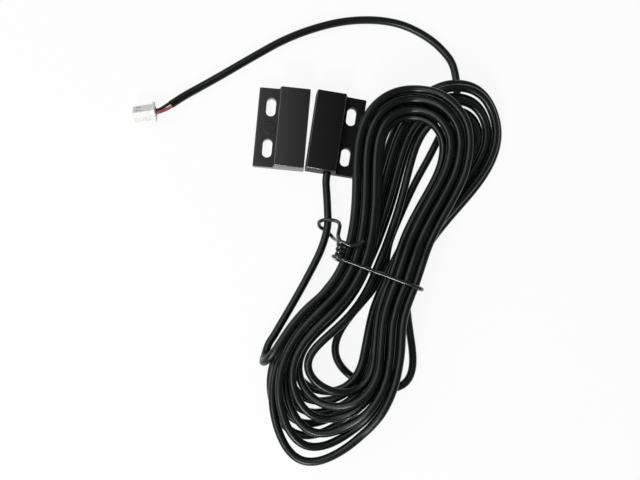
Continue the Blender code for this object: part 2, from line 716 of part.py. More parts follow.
def wire_tie(surface, parent):
    """Bends the wire tie: a band round the waist, a twist on its left shoulder, and a ring round the lead."""
    left = -WAIST_LEFT - TIE_REACH
    right = max(WAIST_RIGHT, UPPER_WAIST_RIGHT) + TIE_REACH
    shoulder = (TIE_REACH + TWIST_RADIUS) * 0.5 ** 0.5
    corner = 2.5 * MM

    def at(p, q, z):
        return Vector((*hank_axes(p, q), z))

    low = at(-WAIST_LEFT - shoulder, 0.6 * MM, UPPER_WAIST_LEVEL + shoulder)
    high = at(-WAIST_LEFT - shoulder - 1.2 * MM, 6.8 * MM, UPPER_WAIST_LEVEL + shoulder)
    axis = (high - low).normalized()
    side = axis.cross(Vector((0, 0, 1))).normalized()
    up = side.cross(axis)

    def twist(phase):
        count = round(TWIST_TURNS * TWIST_POINTS)
        turns = [phase - 2 * pi * i / TWIST_POINTS for i in range(count + 1)]
        middle = [low.lerp(high, i / count) for i in range(count + 1)]
        return [m + (side * cos(t) + up * sin(t)) * TWIST_RADIUS for m, t in zip(middle, turns)]

    free_end = [
        Vector((11.6, -46.4, 21.2)) * MM,
        Vector((9.4, -48.5, 21.4)) * MM,
        Vector((6.8, -49.3, 21.5)) * MM,
        Vector((4.4, -48.9, 21.4)) * MM,
    ]
    band = [
        at(-WAIST_LEFT - 1.0 * MM, 0, TIE_TOP - 0.1 * MM),
        at(-WAIST_LEFT + corner, 0, TIE_TOP),
        at(0, 0, TIE_TOP),
        at(right - corner, 0, TIE_TOP),
        at(right, 0, TIE_TOP - corner),
        at(right, 0, (TIE_TOP + TIE_FLOOR) / 2),
        at(right - 0.3 * corner, 0, TIE_FLOOR + 0.2 * corner),
        at(right - 1.4 * corner, 0, TIE_FLOOR),
        at(right - 3 * corner, 0, TIE_FLOOR),
        at(0, 0, TIE_FLOOR),
        at(left + 3 * corner, 0, TIE_FLOOR),
        at(left + 1.4 * corner, 0, TIE_FLOOR),
        at(left + 0.2 * corner, 0, TIE_FLOOR + 0.6 * corner),
        at(left - 0.3 * corner, 0, 0.45 * low.z),
        at(left - 0.8 * corner, 0, 0.85 * low.z),
        at(left - 0.6 * corner, 0, low.z + 0.6 * MM),
    ]
    ring = [
        Vector((1.0, -46.4, 18.4)) * MM,
        Vector((1.0, -43.4, 17.0)) * MM,
        Vector((1.2, -41.0, 14.4)) * MM,
        Vector((0.4, -39.4, 11.4)) * MM,
        Vector((-2.2, -38.8, 8.4)) * MM,
        Vector((-5.2, -39.0, 6.7)) * MM,
        Vector((-7.3, -40.2, 4.6)) * MM,
        Vector((-6.8, -41.9, 2.2)) * MM,
        Vector((-4.6, -43.0, 1.0)) * MM,
        Vector((-2.2, -44.2, 1.0)) * MM,
        Vector((-0.2, -46.0, 2.6)) * MM,
    ]
    route = free_end + list(reversed(twist(-pi / 2))) + band + twist(pi / 2) + ring
    points = even_points(curve_through(route), TIE_SPACING)
    points = [Vector((p.x, p.y, max(p.z, TIE_FLOOR))) for p in points]
    tube("wire_tie", points, TIE_RADIUS, surface, parent, resolution=1)


def plug_frame():
    """Gives the plug's own frame: X across its two ways, Y towards its mating end, Z out of its windows."""
    heading = Vector((cos(PLUG_HEADING), sin(PLUG_HEADING), 0.0))
    beside = Vector((heading.y, -heading.x, 0.0))
    upright = Vector((0.0, 0.0, 1.0))
    across = beside * cos(PLUG_ROLL) - upright * sin(PLUG_ROLL)
    windows = upright * cos(PLUG_ROLL) + beside * sin(PLUG_ROLL)
    height = (PLUG_FLANGE_WIDTH * sin(PLUG_ROLL) + PLUG_FLANGE_HEIGHT * cos(PLUG_ROLL)) / 2 + FLOOR_GAP
    frame = Matrix((across, heading, windows)).transposed().to_4x4()
    frame.translation = Vector((*PLUG_PLACE, height))
    return frame


def plug_housing(surface, parent):
    """Moulds the plug: a body with a wider rear plate, two through channels and their latch windows."""
    half_width, half_height = PLUG_BODY_WIDTH / 2, PLUG_BODY_HEIGHT / 2
    body = box((-half_width, 0, -half_height), (half_width, PLUG_LENGTH, half_height), PLUG_EDGE)
    piece = add_mesh("plug_housing", body, surface, parent)
    half_width, half_height = PLUG_FLANGE_WIDTH / 2, PLUG_FLANGE_HEIGHT / 2
    plate = box((-half_width, 0, -half_height), (half_width, PLUG_FLANGE_THICKNESS, half_height), PLUG_EDGE)
    cut(piece, add_mesh("plug_rear_plate", plate), "UNION")
    for side in (-1, 1):
        way = side * PLUG_PITCH / 2
        tag = "red" if side < 0 else "black"
        low = (way - CHANNEL_WIDTH / 2, -PAST, -CHANNEL_HEIGHT / 2)
        high = (way + CHANNEL_WIDTH / 2, PLUG_LENGTH + PAST, CHANNEL_HEIGHT / 2)
        cut(piece, add_mesh("plug_channel_" + tag, box(low, high)))
        front = PLUG_LENGTH - WINDOW_FROM_FRONT
        low = (way - WINDOW_WIDTH / 2, front - WINDOW_LENGTH, 0.0)
        high = (way + WINDOW_WIDTH / 2, front, PLUG_BODY_HEIGHT)
        cut(piece, add_mesh("plug_window_" + tag, box(low, high)))
    return piece


def plug_contact(name, way, surface, parent):
    """Folds a crimp contact: an open box for the pin, with a crimp barrel behind it."""
    half_width = CHANNEL_WIDTH / 2 - SEAT
    half_height = CHANNEL_HEIGHT / 2 - SEAT
    front = PLUG_LENGTH - CONTACT_SETBACK
    rear = front - CONTACT_BOX_LENGTH
    corners = ((1, 1), (-1, 1), (-1, -1), (1, -1))
    outside = [(sx * half_width, sz * half_height) for sx, sz in corners]
    inside = [(sx * (half_width - CONTACT_SHEET), sz * (half_height - CONTACT_SHEET)) for sx, sz in corners]
    walls = ((outside, front), (outside, rear), (inside, rear), (inside, front))
    sections = [[(way + x, y, z) for x, z in outline] for outline, y in walls]
    piece = add_mesh(name, skin(sections, closed=True), surface, parent)
    barrel_radius = half_width
    ends = (rear - CONTACT_BARREL_LENGTH, rear + CONTACT_SHEET)
    rings = [ring_along_y(barrel_radius, barrel_radius, way, y, 0.0, 8) for y in ends]
    cut(piece, add_mesh(name + "_barrel", skin(rings)), "UNION")
    return rear - CONTACT_BARREL_LENGTH


def plug_wires(frame, tail_end, tail_heading, wire_stop, red, black, parent):
    """Runs the two cores from the jacket's end into the plug's channels."""
    aside = Vector((-tail_heading.y, tail_heading.x, 0.0)).normalized()
    start = tail_end + tail_heading * SEAT
    for name, side, surface in (("plug_core_red", -1, red), ("plug_core_black", 1, black)):
        way = side * PLUG_PITCH / 2
        inside = frame @ Vector((way, wire_stop - SEAT, 0.0))
        at_rear = frame @ Vector((way, 0.0, 0.0))
        outside = frame @ Vector((way, -WIRE_RADIUS * 2, 0.0))
        away = -side * aside * (WIRE_RADIUS + SEAT / 2)
        run = (start + away, start + away + tail_heading * WIRE_RADIUS * 2, outside, at_rear, inside)
        tube(name, even_points(curve_through(run), WIRE_SPACING), WIRE_RADIUS, surface, parent)


def main():
    clear_scene()
    abs_plastic = material("black_abs", "1e1e1d", 0.42)
    epoxy = material("potting_epoxy", "161616", 0.3)
    ferrite = material("ferrite", "3a3a3c", 0.55)
    glass = material("reed_glass", "cfe0d8", 0.05, alpha=0.35)
    reed_alloy = material("reed_alloy", "b9b7b0", 0.3, 1.0)
    sleeve_surface = material("shrink_sleeve", "101010", 0.5)
    red = material("red_insulation", "b3221f", 0.4)
    black = material("black_insulation", "151515", 0.4)
    jacket = material("cable_jacket", "171817", 0.38)
    tie_coat = material("tie_coat", "141414", 0.25)
    nylon = material("plug_nylon", "e9e8e4", 0.45)
    tin = material("tinned_contact", "c8c6c0", 0.3, 1.0)

    switch = empty("switch_half", (0.0, 0.0, 0.0))
    magnet = empty("magnet_half", MAGNET_HALF_PLACE, PAIR_TURN)
    pivot = empty("reed_pivot", (REED_X, BLADE_ROOT, REED_HEIGHT), parent=switch)
    plug = empty("plug", (0.0, 0.0, 0.0), parent=switch)
    plug.matrix_world = plug_frame()

    housing("switch_housing", 1, abs_plastic, switch, cable_hole=True)
    potting("switch_potting", 1, epoxy, switch)
    reed_glass(glass, switch)
    lead_back = reed_leads(reed_alloy, switch, pivot)
    inner_wiring(lead_back, sleeve_surface, red, black, switch)

    housing("magnet_housing", -1, abs_plastic, magnet)
    potting("magnet_potting", -1, epoxy, magnet)
    bar_magnet(ferrite, magnet)

    tail_points = cable(jacket, switch)
    wire_tie(tie_coat, switch)
    plug_housing(nylon, plug)
    wire_stop = plug_contact("plug_contact_red", -PLUG_PITCH / 2, tin, plug)
    plug_contact("plug_contact_black", PLUG_PITCH / 2, tin, plug)
    tail_heading = (tail_points[-1] - tail_points[-2]).normalized()
    plug_wires(plug_frame(), tail_points[-1], tail_heading, wire_stop, red, black, switch)


main()
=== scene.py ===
"""Looks of the wired door contact: two black moulded halves, a tied hank of thin cable and a white plug.

Metres, in the part's own frame: +Z is out of the wall, the cable leaves towards -Y, and the magnet half is
towards -X.
"""

from collections import namedtuple
from math import cos, floor, pi, radians, sin

import bmesh
import bpy
from mathutils import Matrix, Vector


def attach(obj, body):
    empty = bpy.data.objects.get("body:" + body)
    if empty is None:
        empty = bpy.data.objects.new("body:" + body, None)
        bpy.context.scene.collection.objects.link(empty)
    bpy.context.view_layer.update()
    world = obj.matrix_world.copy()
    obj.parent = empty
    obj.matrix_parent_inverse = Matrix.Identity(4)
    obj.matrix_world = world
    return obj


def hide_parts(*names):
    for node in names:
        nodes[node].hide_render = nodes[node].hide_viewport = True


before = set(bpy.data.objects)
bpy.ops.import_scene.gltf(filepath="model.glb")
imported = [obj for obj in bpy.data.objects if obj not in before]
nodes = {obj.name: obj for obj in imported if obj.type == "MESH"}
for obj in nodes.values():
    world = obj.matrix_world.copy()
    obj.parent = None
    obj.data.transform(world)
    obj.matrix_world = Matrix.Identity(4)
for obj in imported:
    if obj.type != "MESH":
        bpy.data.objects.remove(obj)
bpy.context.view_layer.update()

MM = 0.001

# Camera: fitted to the corners of both halves
CAMERA_PLACE = Vector((-21.8, -65.0, 316.7)) * MM
CAMERA_LOOK = Vector((0.051, 0.054, -0.9972))
CAMERA_UP = Vector((-0.151, 0.988, 0.046))
CAMERA_LENS = 39.49
SENSOR_WIDTH = 36.0

# Fits, as in the part
SEAT = 0.3 * MM
PAST = 1.0 * MM
FLOOR_GAP = 0.05 * MM

# Floor and sky: the share of the floor that shows plain white instead of its own lit paper
FLOOR_GLOW = 0.9
FLOOR_HALF = 3.0
SKY_LIGHT = 0.22

# A Mix node's sockets by number, because their names repeat
MIX_SHARE = 0
LOW_NUMBER = 2
HIGH_NUMBER = 3
LOW_TINT = 6
HIGH_TINT = 7
MIXED_TINT = 2

# Turn between two faces past which the edge between them stays sharp
CREASE = radians(32)
FINE_CREASE = radians(20)

# Housing moulding, the same for both halves
HOUSING_LENGTH = 36.0 * MM
PAIR_WIDTH = 47.8 * MM
PAIR_GAP = 1.3 * MM
PAIR_SHIFT = -1.5 * MM
PAIR_TURN = radians(3.3)
BLOCK_HEIGHT = 10.0 * MM
FLANGE_REACH = 9.35 * MM
FLANGE_THICKNESS = 3.4 * MM
DRAFT = 0.35 * MM
EDGE_RADIUS = 0.45 * MM
EDGE_SEGMENTS = 5
WALL = 1.3 * MM
ROOF = 1.5 * MM
CAVITY_CORNER = 1.0 * MM
SLOT_WIDTH = 4.3 * MM
SLOT_LENGTH = 8.4 * MM
SLOT_SPACING = 18.7 * MM
SLOT_INSET = 5.95 * MM
SLOT_ARC_STEPS = 24
SLOT_RIM = 0.14 * MM
MARK_RADIUS = 2.7 * MM
MARK_HEIGHT = 0.12 * MM
MARK_SLOPE = 0.27 * MM
POTTING_TOP = 2.9 * MM
CIRCLE_SIDES = 48
HOLE_SIDES = 32

# Upward share of a housing face's normal: below the first it is a wall, above the second it lies flat
WALL_SLOPE = 0.15
FLAT_SLOPE = 0.985
# Share of both sideways directions in its normal past which an upright face at an end is a rounded corner
CORNER_SLOPE = 0.2

# Cable and hank
CABLE_RADIUS = 1.75 * MM
CABLE_INSET = 3.7 * MM
JACKET_INSIDE = 3.0 * MM
CABLE_SPACING = 1.4 * MM
CABLE_SIDES = 20
HANK_PLACE = Vector((21.6 * MM, -59.3 * MM))
HANK_TURN = radians(-11.9)
# Each next loop lies half a row further out, on the other one of its layer's two levels
ROW_STEP = 2 * CABLE_RADIUS + 0.72 * MM
LOOP_STEP = ROW_STEP / 2
LEVEL_STEP = 2 * CABLE_RADIUS + 0.75 * MM
# The loops change levels at their lower ends, three quarters through each turn
LOWER_END = 0.75
SWAP_TURNS = 0.2
WAIST_HALF = 2.0 * MM
# Steps left free beside the inmost strand, where it goes down from the upper layer to the lower one
UPPER_ROOM = 1.0
LOWER_ROOM = 0.5
ROOM_TURNS = 0.35
# Powers of the distance from the waist: how late the loops swell, lean aside and stretch further
LOBE_POWER = 2.5
LEAN_POWER = 1.3
REACH_POWER = 8
LOOP_POINTS = 96
REVERSAL = 6.0
LAST_RUN = 11.5
HANK_START = -1 / 16
HANK_END = 12.0
CLIMB_TURNS = 0.28

# One layer of the hank: the inmost loop's reach, lean and half width at its top and bottom ends,
# and how much more each further loop reaches beyond one step
Layer = namedtuple("Layer", "top top_more top_lean top_half bottom bottom_more bottom_lean bottom_half")
UPPER_LAYER = Layer(
    top=67.2 * MM, top_more=0.2 * MM, top_lean=-6.0 * MM, top_half=14.6 * MM,
    bottom=50.5 * MM, bottom_more=4.3 * MM, bottom_lean=-4.4 * MM, bottom_half=16.4 * MM,
)
LOWER_LAYER = Layer(
    top=77.5 * MM, top_more=1.0 * MM, top_lean=11.0 * MM, top_half=15.4 * MM,
    bottom=52.0 * MM, bottom_more=3.2 * MM, bottom_lean=-9.0 * MM, bottom_half=15.4 * MM,
)
# The last half loop, which turns back under the bundle to become the tail
FOLD_REACH = 47.8 * MM
FOLD_HALF = 20.8 * MM
FOLD_LEAN = 5.3 * MM
FOLD_POWER = 1.5
# The bundle lies on the outer share of that fold and on these points of the tail's route
FOLD_SHARE = 0.56
FOLD_POINTS = 40
WAY_OUT = slice(4, 7)
WAY_OUT_POINTS = 8

# Heights of the hank's centre lines: lower layer, upper layer above it, and what lifts them both
LAYER_LIFT = LEVEL_STEP + 2 * CABLE_RADIUS + 0.9 * MM
WAIST_RISE = 2.05 * MM
WAIST_RUN_OUT = 24.0 * MM
WAIST_RAMP = 18.0 * MM
CROSSING_RISE = 2 * CABLE_RADIUS + 0.8 * MM
CROSSING_RUN_OUT = 24.0 * MM
CROSSING_RAMP = 20.0 * MM

# Wire tie round the waist
TIE_RADIUS = 0.85 * MM
TIE_SPACING = 0.6 * MM
TIE_SIDES = 16
TIE_CLEAR = 0.5 * MM
TIE_CORNER = 2.5 * MM
TWIST_RADIUS = 1.15 * MM
TWIST_TURNS = 1.5
TWIST_POINTS = 8
TWIST_FOOT = 0.6 * MM
TWIST_TIP = 6.8 * MM
TWIST_LEAN = 1.2 * MM

# Plug
PLUG_PLACE = Vector((-86.3 * MM, -2.7 * MM))
PLUG_HEADING = radians(197.7)
PLUG_ROLL = radians(48.0)
PLUG_LENGTH = 9.8 * MM
PLUG_BODY_WIDTH = 6.2 * MM
PLUG_BODY_HEIGHT = 4.8 * MM
PLUG_FLANGE_WIDTH = 7.6 * MM
PLUG_FLANGE_HEIGHT = 6.1 * MM
PLUG_FLANGE_THICKNESS = 1.0 * MM
PLUG_EDGE = 0.2 * MM
PLUG_EDGE_SEGMENTS = 3
PLUG_PITCH = 2.5 * MM
CHANNEL_WIDTH = 1.9 * MM
CHANNEL_HEIGHT = 2.4 * MM
WINDOW_LENGTH = 2.4 * MM
WINDOW_WIDTH = 1.2 * MM
WINDOW_FROM_FRONT = 1.3 * MM
GROOVE_DEPTH = 0.4 * MM
CONTACT_BOX_LENGTH = 5.2 * MM
CONTACT_BARREL_LENGTH = 2.0 * MM
CONTACT_SETBACK = 0.6 * MM
WIRE_RADIUS = 0.7 * MM
WIRE_SPACING = 0.4 * MM
WIRE_SIDES = 18

# Places worked out from the sizes above
HOUSING_WIDTH = (PAIR_WIDTH - PAIR_GAP) / 2
BLOCK_WIDTH = HOUSING_WIDTH - FLANGE_REACH
BLOCK_NEAR = SLOT_INSET - FLANGE_REACH
BLOCK_FAR = BLOCK_NEAR - BLOCK_WIDTH
MAGNET_HALF_PLACE = Vector((2 * BLOCK_FAR - PAIR_GAP, PAIR_SHIFT, 0.0))
HALF_LENGTH = HOUSING_LENGTH / 2
CAVITY_END = HALF_LENGTH - WALL
CABLE_HEIGHT = POTTING_TOP + SEAT + CABLE_RADIUS
CABLE_X = BLOCK_NEAR - CABLE_INSET
JACKET_END = JACKET_INSIDE - CAVITY_END
LAID = CABLE_RADIUS + FLOOR_GAP
TIE_FLOOR = TIE_RADIUS + FLOOR_GAP
UPPER_WAIST_LEVEL = LAID + WAIST_RISE + LAYER_LIFT + LEVEL_STEP
TIE_REACH = CABLE_RADIUS + TIE_CLEAR + TIE_RADIUS
TIE_TOP = UPPER_WAIST_LEVEL + TIE_REACH
TAIL_SLOT = WAIST_HALF
WAIST_LEFT = WAIST_HALF + LOOP_STEP * (REVERSAL + UPPER_ROOM)
WAIST_RIGHT = WAIST_HALF + LOOP_STEP * (LAST_RUN - REVERSAL + LOWER_ROOM)
UPPER_WAIST_RIGHT = WAIST_LEFT - LOOP_STEP / 2
WIRE_STOP = PLUG_LENGTH - CONTACT_SETBACK - CONTACT_BOX_LENGTH - CONTACT_BARREL_LENGTH - SEAT

# Routes given in millimetres: x, y, and the centre line's height
LEAD_ROUTE = (
    (-6.2, -26.0, 4.7),
    (-4.7, -33.0, 4.2),
    (-3.4, -41.5, 4.0),
    (-4.5, -51.4, 3.0),
    (-8.6, -64.7, 1.9),
    (-14.2, -79.6, 1.9),
    (-17.6, -88.0, 1.85),
    (-19.6, -93.0, 1.85),
    (-21.4, -97.0, 1.9),
    (-22.3, -101.9, 3.5),
    (-22.6, -104.4, 8.4),
    (-21.0, -102.6, 13.4),
    (-18.4, -98.2, 15.8),
    (-16.1, -93.2, 16.2),
    (-13.5, -87.8, 16.1),
    (-10.6, -82.8, 16.0),
    (-7.4, -78.2, 15.9),
)
TAIL_ROUTE = (
    (25.4, -44.6, 2.6),
    (28.6, -31.6, 1.85),
    (33.2, -16.0, 1.8),
    (38.5, -1.6, 1.8),
    (44.6, 17.6, 1.8),
    (46.6, 27.1, 1.8),
    (45.3, 34.6, 1.8),
    (42.0, 42.2, 1.8),
    (35.9, 47.9, 1.8),
    (31.0, 50.9, 1.8),
    (23.7, 53.9, 1.8),
    (16.4, 55.6, 1.8),
    (8.0, 55.9, 1.8),
    (-0.3, 54.9, 1.8),
    (-9.2, 52.7, 1.8),
    (-18.0, 49.3, 1.8),
    (-28.6, 43.8, 1.8),
    (-37.0, 38.3, 1.8),
    (-45.2, 31.8, 1.8),
    (-53.3, 25.1, 1.8),
    (-61.3, 18.4, 1.8),
    (-69.4, 11.8, 1.9),
    (-75.3, 6.8, 2.6),
    (-80.6, 1.6, 3.6),
)
TIE_FREE_END = (
    (11.6, -46.4, 21.2),
    (9.4, -48.5, 21.4),
    (6.8, -49.3, 21.5),
    (4.4, -48.9, 21.4),
)
# Round the lead, then back up behind the twist
TIE_RING = (
    (1.0, -46.4, 18.4),
    (1.0, -43.4, 17.0),
    (1.2, -41.0, 14.4),
    (0.4, -39.4, 11.4),
    (-2.2, -38.8, 8.4),
    (-5.2, -39.0, 6.7),
    (-7.3, -40.2, 4.6),
    (-6.8, -41.9, 2.2),
    (-4.6, -43.0, 1.0),
    (-2.2, -44.2, 1.0),
    (-0.2, -46.0, 2.6),
    (0.9, -47.0, 6.0),
    (1.5, -47.7, 10.5),
    (1.7, -48.2, 15.5),
)


def add(tree, kind, inputs=None, **settings):
    """Adds a node with its settings, and links or sets its inputs: a node as one gives its first output."""
    node = tree.nodes.new(kind)
    for name, value in settings.items():
        setattr(node, name, value)
    for socket, value in (inputs or {}).items():
        if isinstance(value, bpy.types.Node):
            value = value.outputs[0]
        if isinstance(value, bpy.types.NodeSocket):
            tree.links.new(value, node.inputs[socket])
        else:
            node.inputs[socket].default_value = value
    return node


def colour(code):
    """Turns an sRGB hex colour into the linear one that shaders take."""
    parts = [int(code[i:i + 2], 16) / 255 for i in (0, 2, 4)]
    return (*[c / 12.92 if c <= 0.04045 else ((c + 0.055) / 1.055) ** 2.4 for c in parts], 1.0)


def camera():
    """Stands the camera where the photo was taken from."""
    look = CAMERA_LOOK.normalized()
    right = look.cross(CAMERA_UP).normalized()
    up = right.cross(look)
    data = bpy.data.cameras.new("camera")
    data.sensor_width = SENSOR_WIDTH
    data.lens = CAMERA_LENS
    data.clip_start = 10 * MM
    eye = bpy.data.objects.new("camera", data)
    turn = Matrix((right, up, -look)).transposed().to_4x4()
    eye.matrix_world = Matrix.Translation(CAMERA_PLACE) @ turn
    bpy.context.scene.collection.objects.link(eye)
    bpy.context.scene.camera = eye


def blank(name):
    """Starts a material: its tree, its shader and the object's own coordinates."""
    surface = bpy.data.materials.new(name)
    surface.use_nodes = True
    tree = surface.node_tree
    place = add(tree, "ShaderNodeTexCoord").outputs["Object"]
    return surface, tree, tree.nodes["Principled BSDF"], place


def connect(tree, shader, **outputs):
    """Links a material's made values to its shader: base, rough, normal."""
    sockets = {"base": "Base Color", "rough": "Roughness", "normal": "Normal"}
    for name, output in outputs.items():
        tree.links.new(output, shader.inputs[sockets[name]])


def patterned(tree, shader, tint_by, tints, rough_by, rough, relief_by, strength, depth, under=None):
    """Gives a shader its colour, roughness and relief from patterns.

    Each pattern moves its value between two ends: sRGB tints, roughnesses, and a relief of the given strength
    and depth. under is a slower relief that lies below it.
    """
    tint = add(
        tree, "ShaderNodeMix",
        {MIX_SHARE: tint_by, LOW_TINT: colour(tints[0]), HIGH_TINT: colour(tints[1])}, data_type="RGBA",
    )
    shine = add(tree, "ShaderNodeMapRange", {"Value": rough_by, "To Min": rough[0], "To Max": rough[1]})
    bump = add(tree, "ShaderNodeBump", {"Strength": strength, "Distance": depth, "Height": relief_by})
    if under:
        tree.links.new(under.outputs[0], bump.inputs["Normal"])
    connect(tree, shader, base=tint.outputs[MIXED_TINT], rough=shine.outputs[0], normal=bump.outputs[0])


def moulded_abs():
    """Black ABS from a spark-eroded mould: even grain, cloudy tone, sheen, polished walls and paler edges.

    The paler colour on the rounded edges is partly rubbed wear and partly a painted highlight.
    The real grain is finer than a pixel, so it is drawn coarser, to break the shine.
    """
    surface, tree, shader, place = blank("moulded_black_abs")
    grain = add(tree, "ShaderNodeTexNoise", {"Vector": place, "Scale": 1 / (0.3 * MM), "Detail": 3.0})
    cloud = add(tree, "ShaderNodeTexNoise", {"Vector": place, "Scale": 1 / (9 * MM), "Detail": 2.0})
    rubs = add(tree, "ShaderNodeMapping", {"Vector": place, "Scale": (1 / (0.25 * MM), 1 / (5 * MM), 1.0)})
    lines = add(tree, "ShaderNodeTexNoise", {"Vector": rubs, "Scale": 1.0, "Detail": 2.0})
    wear_and_painted_highlight = add(tree, "ShaderNodeAttribute", attribute_name="rubbed_and_highlit").outputs["Fac"]
    sheen = add(tree, "ShaderNodeAttribute", attribute_name="sheen").outputs["Fac"]
    walls = add(tree, "ShaderNodeAttribute", attribute_name="polished").outputs["Fac"]
    tint = add(
        tree, "ShaderNodeMix",
        {MIX_SHARE: cloud, LOW_TINT: colour("0b0c0c"), HIGH_TINT: colour("131513")}, data_type="RGBA",
    )
    # Paler colour on the rounded edges: partly rubbed wear, partly a painted highlight
    edge = add(
        tree, "ShaderNodeMix",
        {MIX_SHARE: wear_and_painted_highlight, LOW_TINT: tint.outputs[MIXED_TINT], HIGH_TINT: colour("30332f")}, data_type="RGBA",
    )
    matt = add(tree, "ShaderNodeMapRange", {"Value": lines, "To Min": 0.42, "To Max": 0.52})
    rough = add(tree, "ShaderNodeMix", {MIX_SHARE: walls, LOW_NUMBER: matt, HIGH_NUMBER: 0.17})
    level = add(tree, "ShaderNodeMapRange", {"Value": sheen, "To Min": 0.14, "To Max": 0.5})
    gloss = add(tree, "ShaderNodeMix", {MIX_SHARE: walls, LOW_NUMBER: level, HIGH_NUMBER: 1.0})
    relief = add(tree, "ShaderNodeMapRange", {"Value": walls, "To Min": 0.25, "To Max": 0.05})
    bump = add(tree, "ShaderNodeBump", {"Strength": relief, "Distance": 0.02 * MM, "Height": grain})
    tree.links.new(gloss.outputs[0], shader.inputs["Specular IOR Level"])
    connect(tree, shader, base=edge.outputs[MIXED_TINT], rough=rough.outputs[0], normal=bump.outputs[0])
    return surface


def strand_material(name, tints, rough, line_depth, gloss=0.5):
    """Extruded plastic: draw lines along the strand, a cloudy bloom and a soft waxy sheen.

    Real draw lines are finer than a pixel, so they are drawn coarser, to draw out the shine.
    """
    surface, tree, shader, place = blank(name)
    section = add(tree, "ShaderNodeAttribute", attribute_name="round").outputs["Vector"]
    along = add(tree, "ShaderNodeAttribute", attribute_name="along").outputs["Fac"]
    split = add(tree, "ShaderNodeSeparateXYZ", {0: section})
    spot = add(tree, "ShaderNodeCombineXYZ", {0: split.outputs[0], 1: split.outputs[1], 2: along})
    line_width, line_length = 0.3 * MM, 100 / 3 * MM
    scale = (1 / line_width, 1 / line_width, 1 / line_length)
    drawn = add(tree, "ShaderNodeMapping", {"Vector": spot, "Scale": scale})
    lines = add(tree, "ShaderNodeTexNoise", {"Vector": drawn, "Scale": 1.0, "Detail": 3.0})
    cloud = add(tree, "ShaderNodeTexNoise", {"Vector": place, "Scale": 1 / (12 * MM), "Detail": 3.0})
    peel = add(tree, "ShaderNodeTexNoise", {"Vector": place, "Scale": 1 / (0.7 * MM), "Detail": 2.0})
    both = add(tree, "ShaderNodeMath", {0: lines, 1: peel}, operation="ADD")
    shader.inputs["Specular IOR Level"].default_value = gloss
    shader.inputs["Specular Tint"].default_value = colour("f0fffa")
    patterned(
        tree, shader, tint_by=cloud, tints=tints, rough_by=cloud, rough=rough,
        relief_by=both, strength=line_depth, depth=0.03 * MM,
    )
    return surface


def moulded_nylon():
    """Natural nylon: milky white that light sinks into, with slow flow marks and a low satin sheen."""
    surface, tree, shader, place = blank("moulded_white_nylon")
    flow = add(tree, "ShaderNodeTexNoise", {"Vector": place, "Scale": 1 / (3 * MM), "Detail": 3.0})
    grain = add(tree, "ShaderNodeTexNoise", {"Vector": place, "Scale": 1 / (0.25 * MM), "Detail": 2.0})
    shader.inputs["Subsurface Weight"].default_value = 0.15
    shader.inputs["Subsurface Scale"].default_value = 0.6 * MM
    shader.inputs["Subsurface Radius"].default_value = (1.0, 1.0, 1.0)
    patterned(
        tree, shader, tint_by=flow, tints=("e2e3e0", "efefec"), rough_by=flow, rough=(0.36, 0.5),
        relief_by=grain, strength=0.05, depth=0.02 * MM,
    )
    return surface


def bright_metal(name, tints, grain_size, rough):
    """Drawn or stamped metal: bright, with fine grain that breaks its shine and dull patches."""
    surface, tree, shader, place = blank(name)
    grain = add(tree, "ShaderNodeTexNoise", {"Vector": place, "Scale": 1 / grain_size, "Detail": 4.0})
    patch = add(tree, "ShaderNodeTexNoise", {"Vector": place, "Scale": 1 / (8 * grain_size), "Detail": 2.0})
    shader.inputs["Metallic"].default_value = 1.0
    patterned(
        tree, shader, tint_by=patch, tints=tints, rough_by=grain, rough=rough,
        relief_by=grain, strength=0.1, depth=0.01 * MM,
    )
    return surface


def poured_epoxy():
    """Poured black epoxy: a wet gloss that dips and swells slowly, pricked with small burst bubbles."""
    surface, tree, shader, place = blank("poured_black_epoxy")
    swell = add(tree, "ShaderNodeTexNoise", {"Vector": place, "Scale": 1 / (5 * MM), "Detail": 1.0})
    cells = add(tree, "ShaderNodeTexVoronoi", {"Vector": place, "Scale": 1 / (2.4 * MM)})
    pit = add(tree, "ShaderNodeMapRange", {"Value": cells, "From Min": 0.05, "From Max": 0.12})
    slow = add(tree, "ShaderNodeBump", {"Strength": 0.5, "Distance": 0.3 * MM, "Height": swell})
    patterned(
        tree, shader, tint_by=swell, tints=("0d0d0e", "191a1b"), rough_by=swell, rough=(0.1, 0.22),
        relief_by=pit, strength=0.6, depth=0.1 * MM, under=slow,
    )
    return surface


def pressed_ferrite():
    """Pressed and ground ferrite: charcoal grey with dull crystal specks and a faint grinding grain."""
    surface, tree, shader, place = blank("ground_ferrite")
    specks = add(tree, "ShaderNodeTexVoronoi", {"Vector": place, "Scale": 1 / (0.35 * MM)})
    scale = (1 / (0.2 * MM), 1 / (6 * MM), 1 / (0.2 * MM))
    ground = add(tree, "ShaderNodeMapping", {"Vector": place, "Scale": scale})
    lines = add(tree, "ShaderNodeTexNoise", {"Vector": ground, "Scale": 1.0, "Detail": 2.0})
    patterned(
        tree, shader, tint_by=specks, tints=("2b2b2d", "454548"), rough_by=lines, rough=(0.4, 0.65),
        relief_by=lines, strength=0.2, depth=0.02 * MM,
    )
    return surface


def drawn_glass():
    """Drawn soda glass with a green cast: clear, with slow waves from the drawing."""
    surface, tree, shader, place = blank("drawn_green_glass")
    scale = (1 / (1.2 * MM), 1 / (9 * MM), 1 / (1.2 * MM))
    drawn = add(tree, "ShaderNodeMapping", {"Vector": place, "Scale": scale})
    waves = add(tree, "ShaderNodeTexNoise", {"Vector": drawn, "Scale": 1.0, "Detail": 1.0})
    shader.inputs["Transmission Weight"].default_value = 1.0
    shader.inputs["IOR"].default_value = 1.51
    patterned(
        tree, shader, tint_by=waves, tints=("c4ddcf", "d8ebe0"), rough_by=waves, rough=(0.0, 0.04),
        relief_by=waves, strength=0.15, depth=0.05 * MM,
    )
    return surface


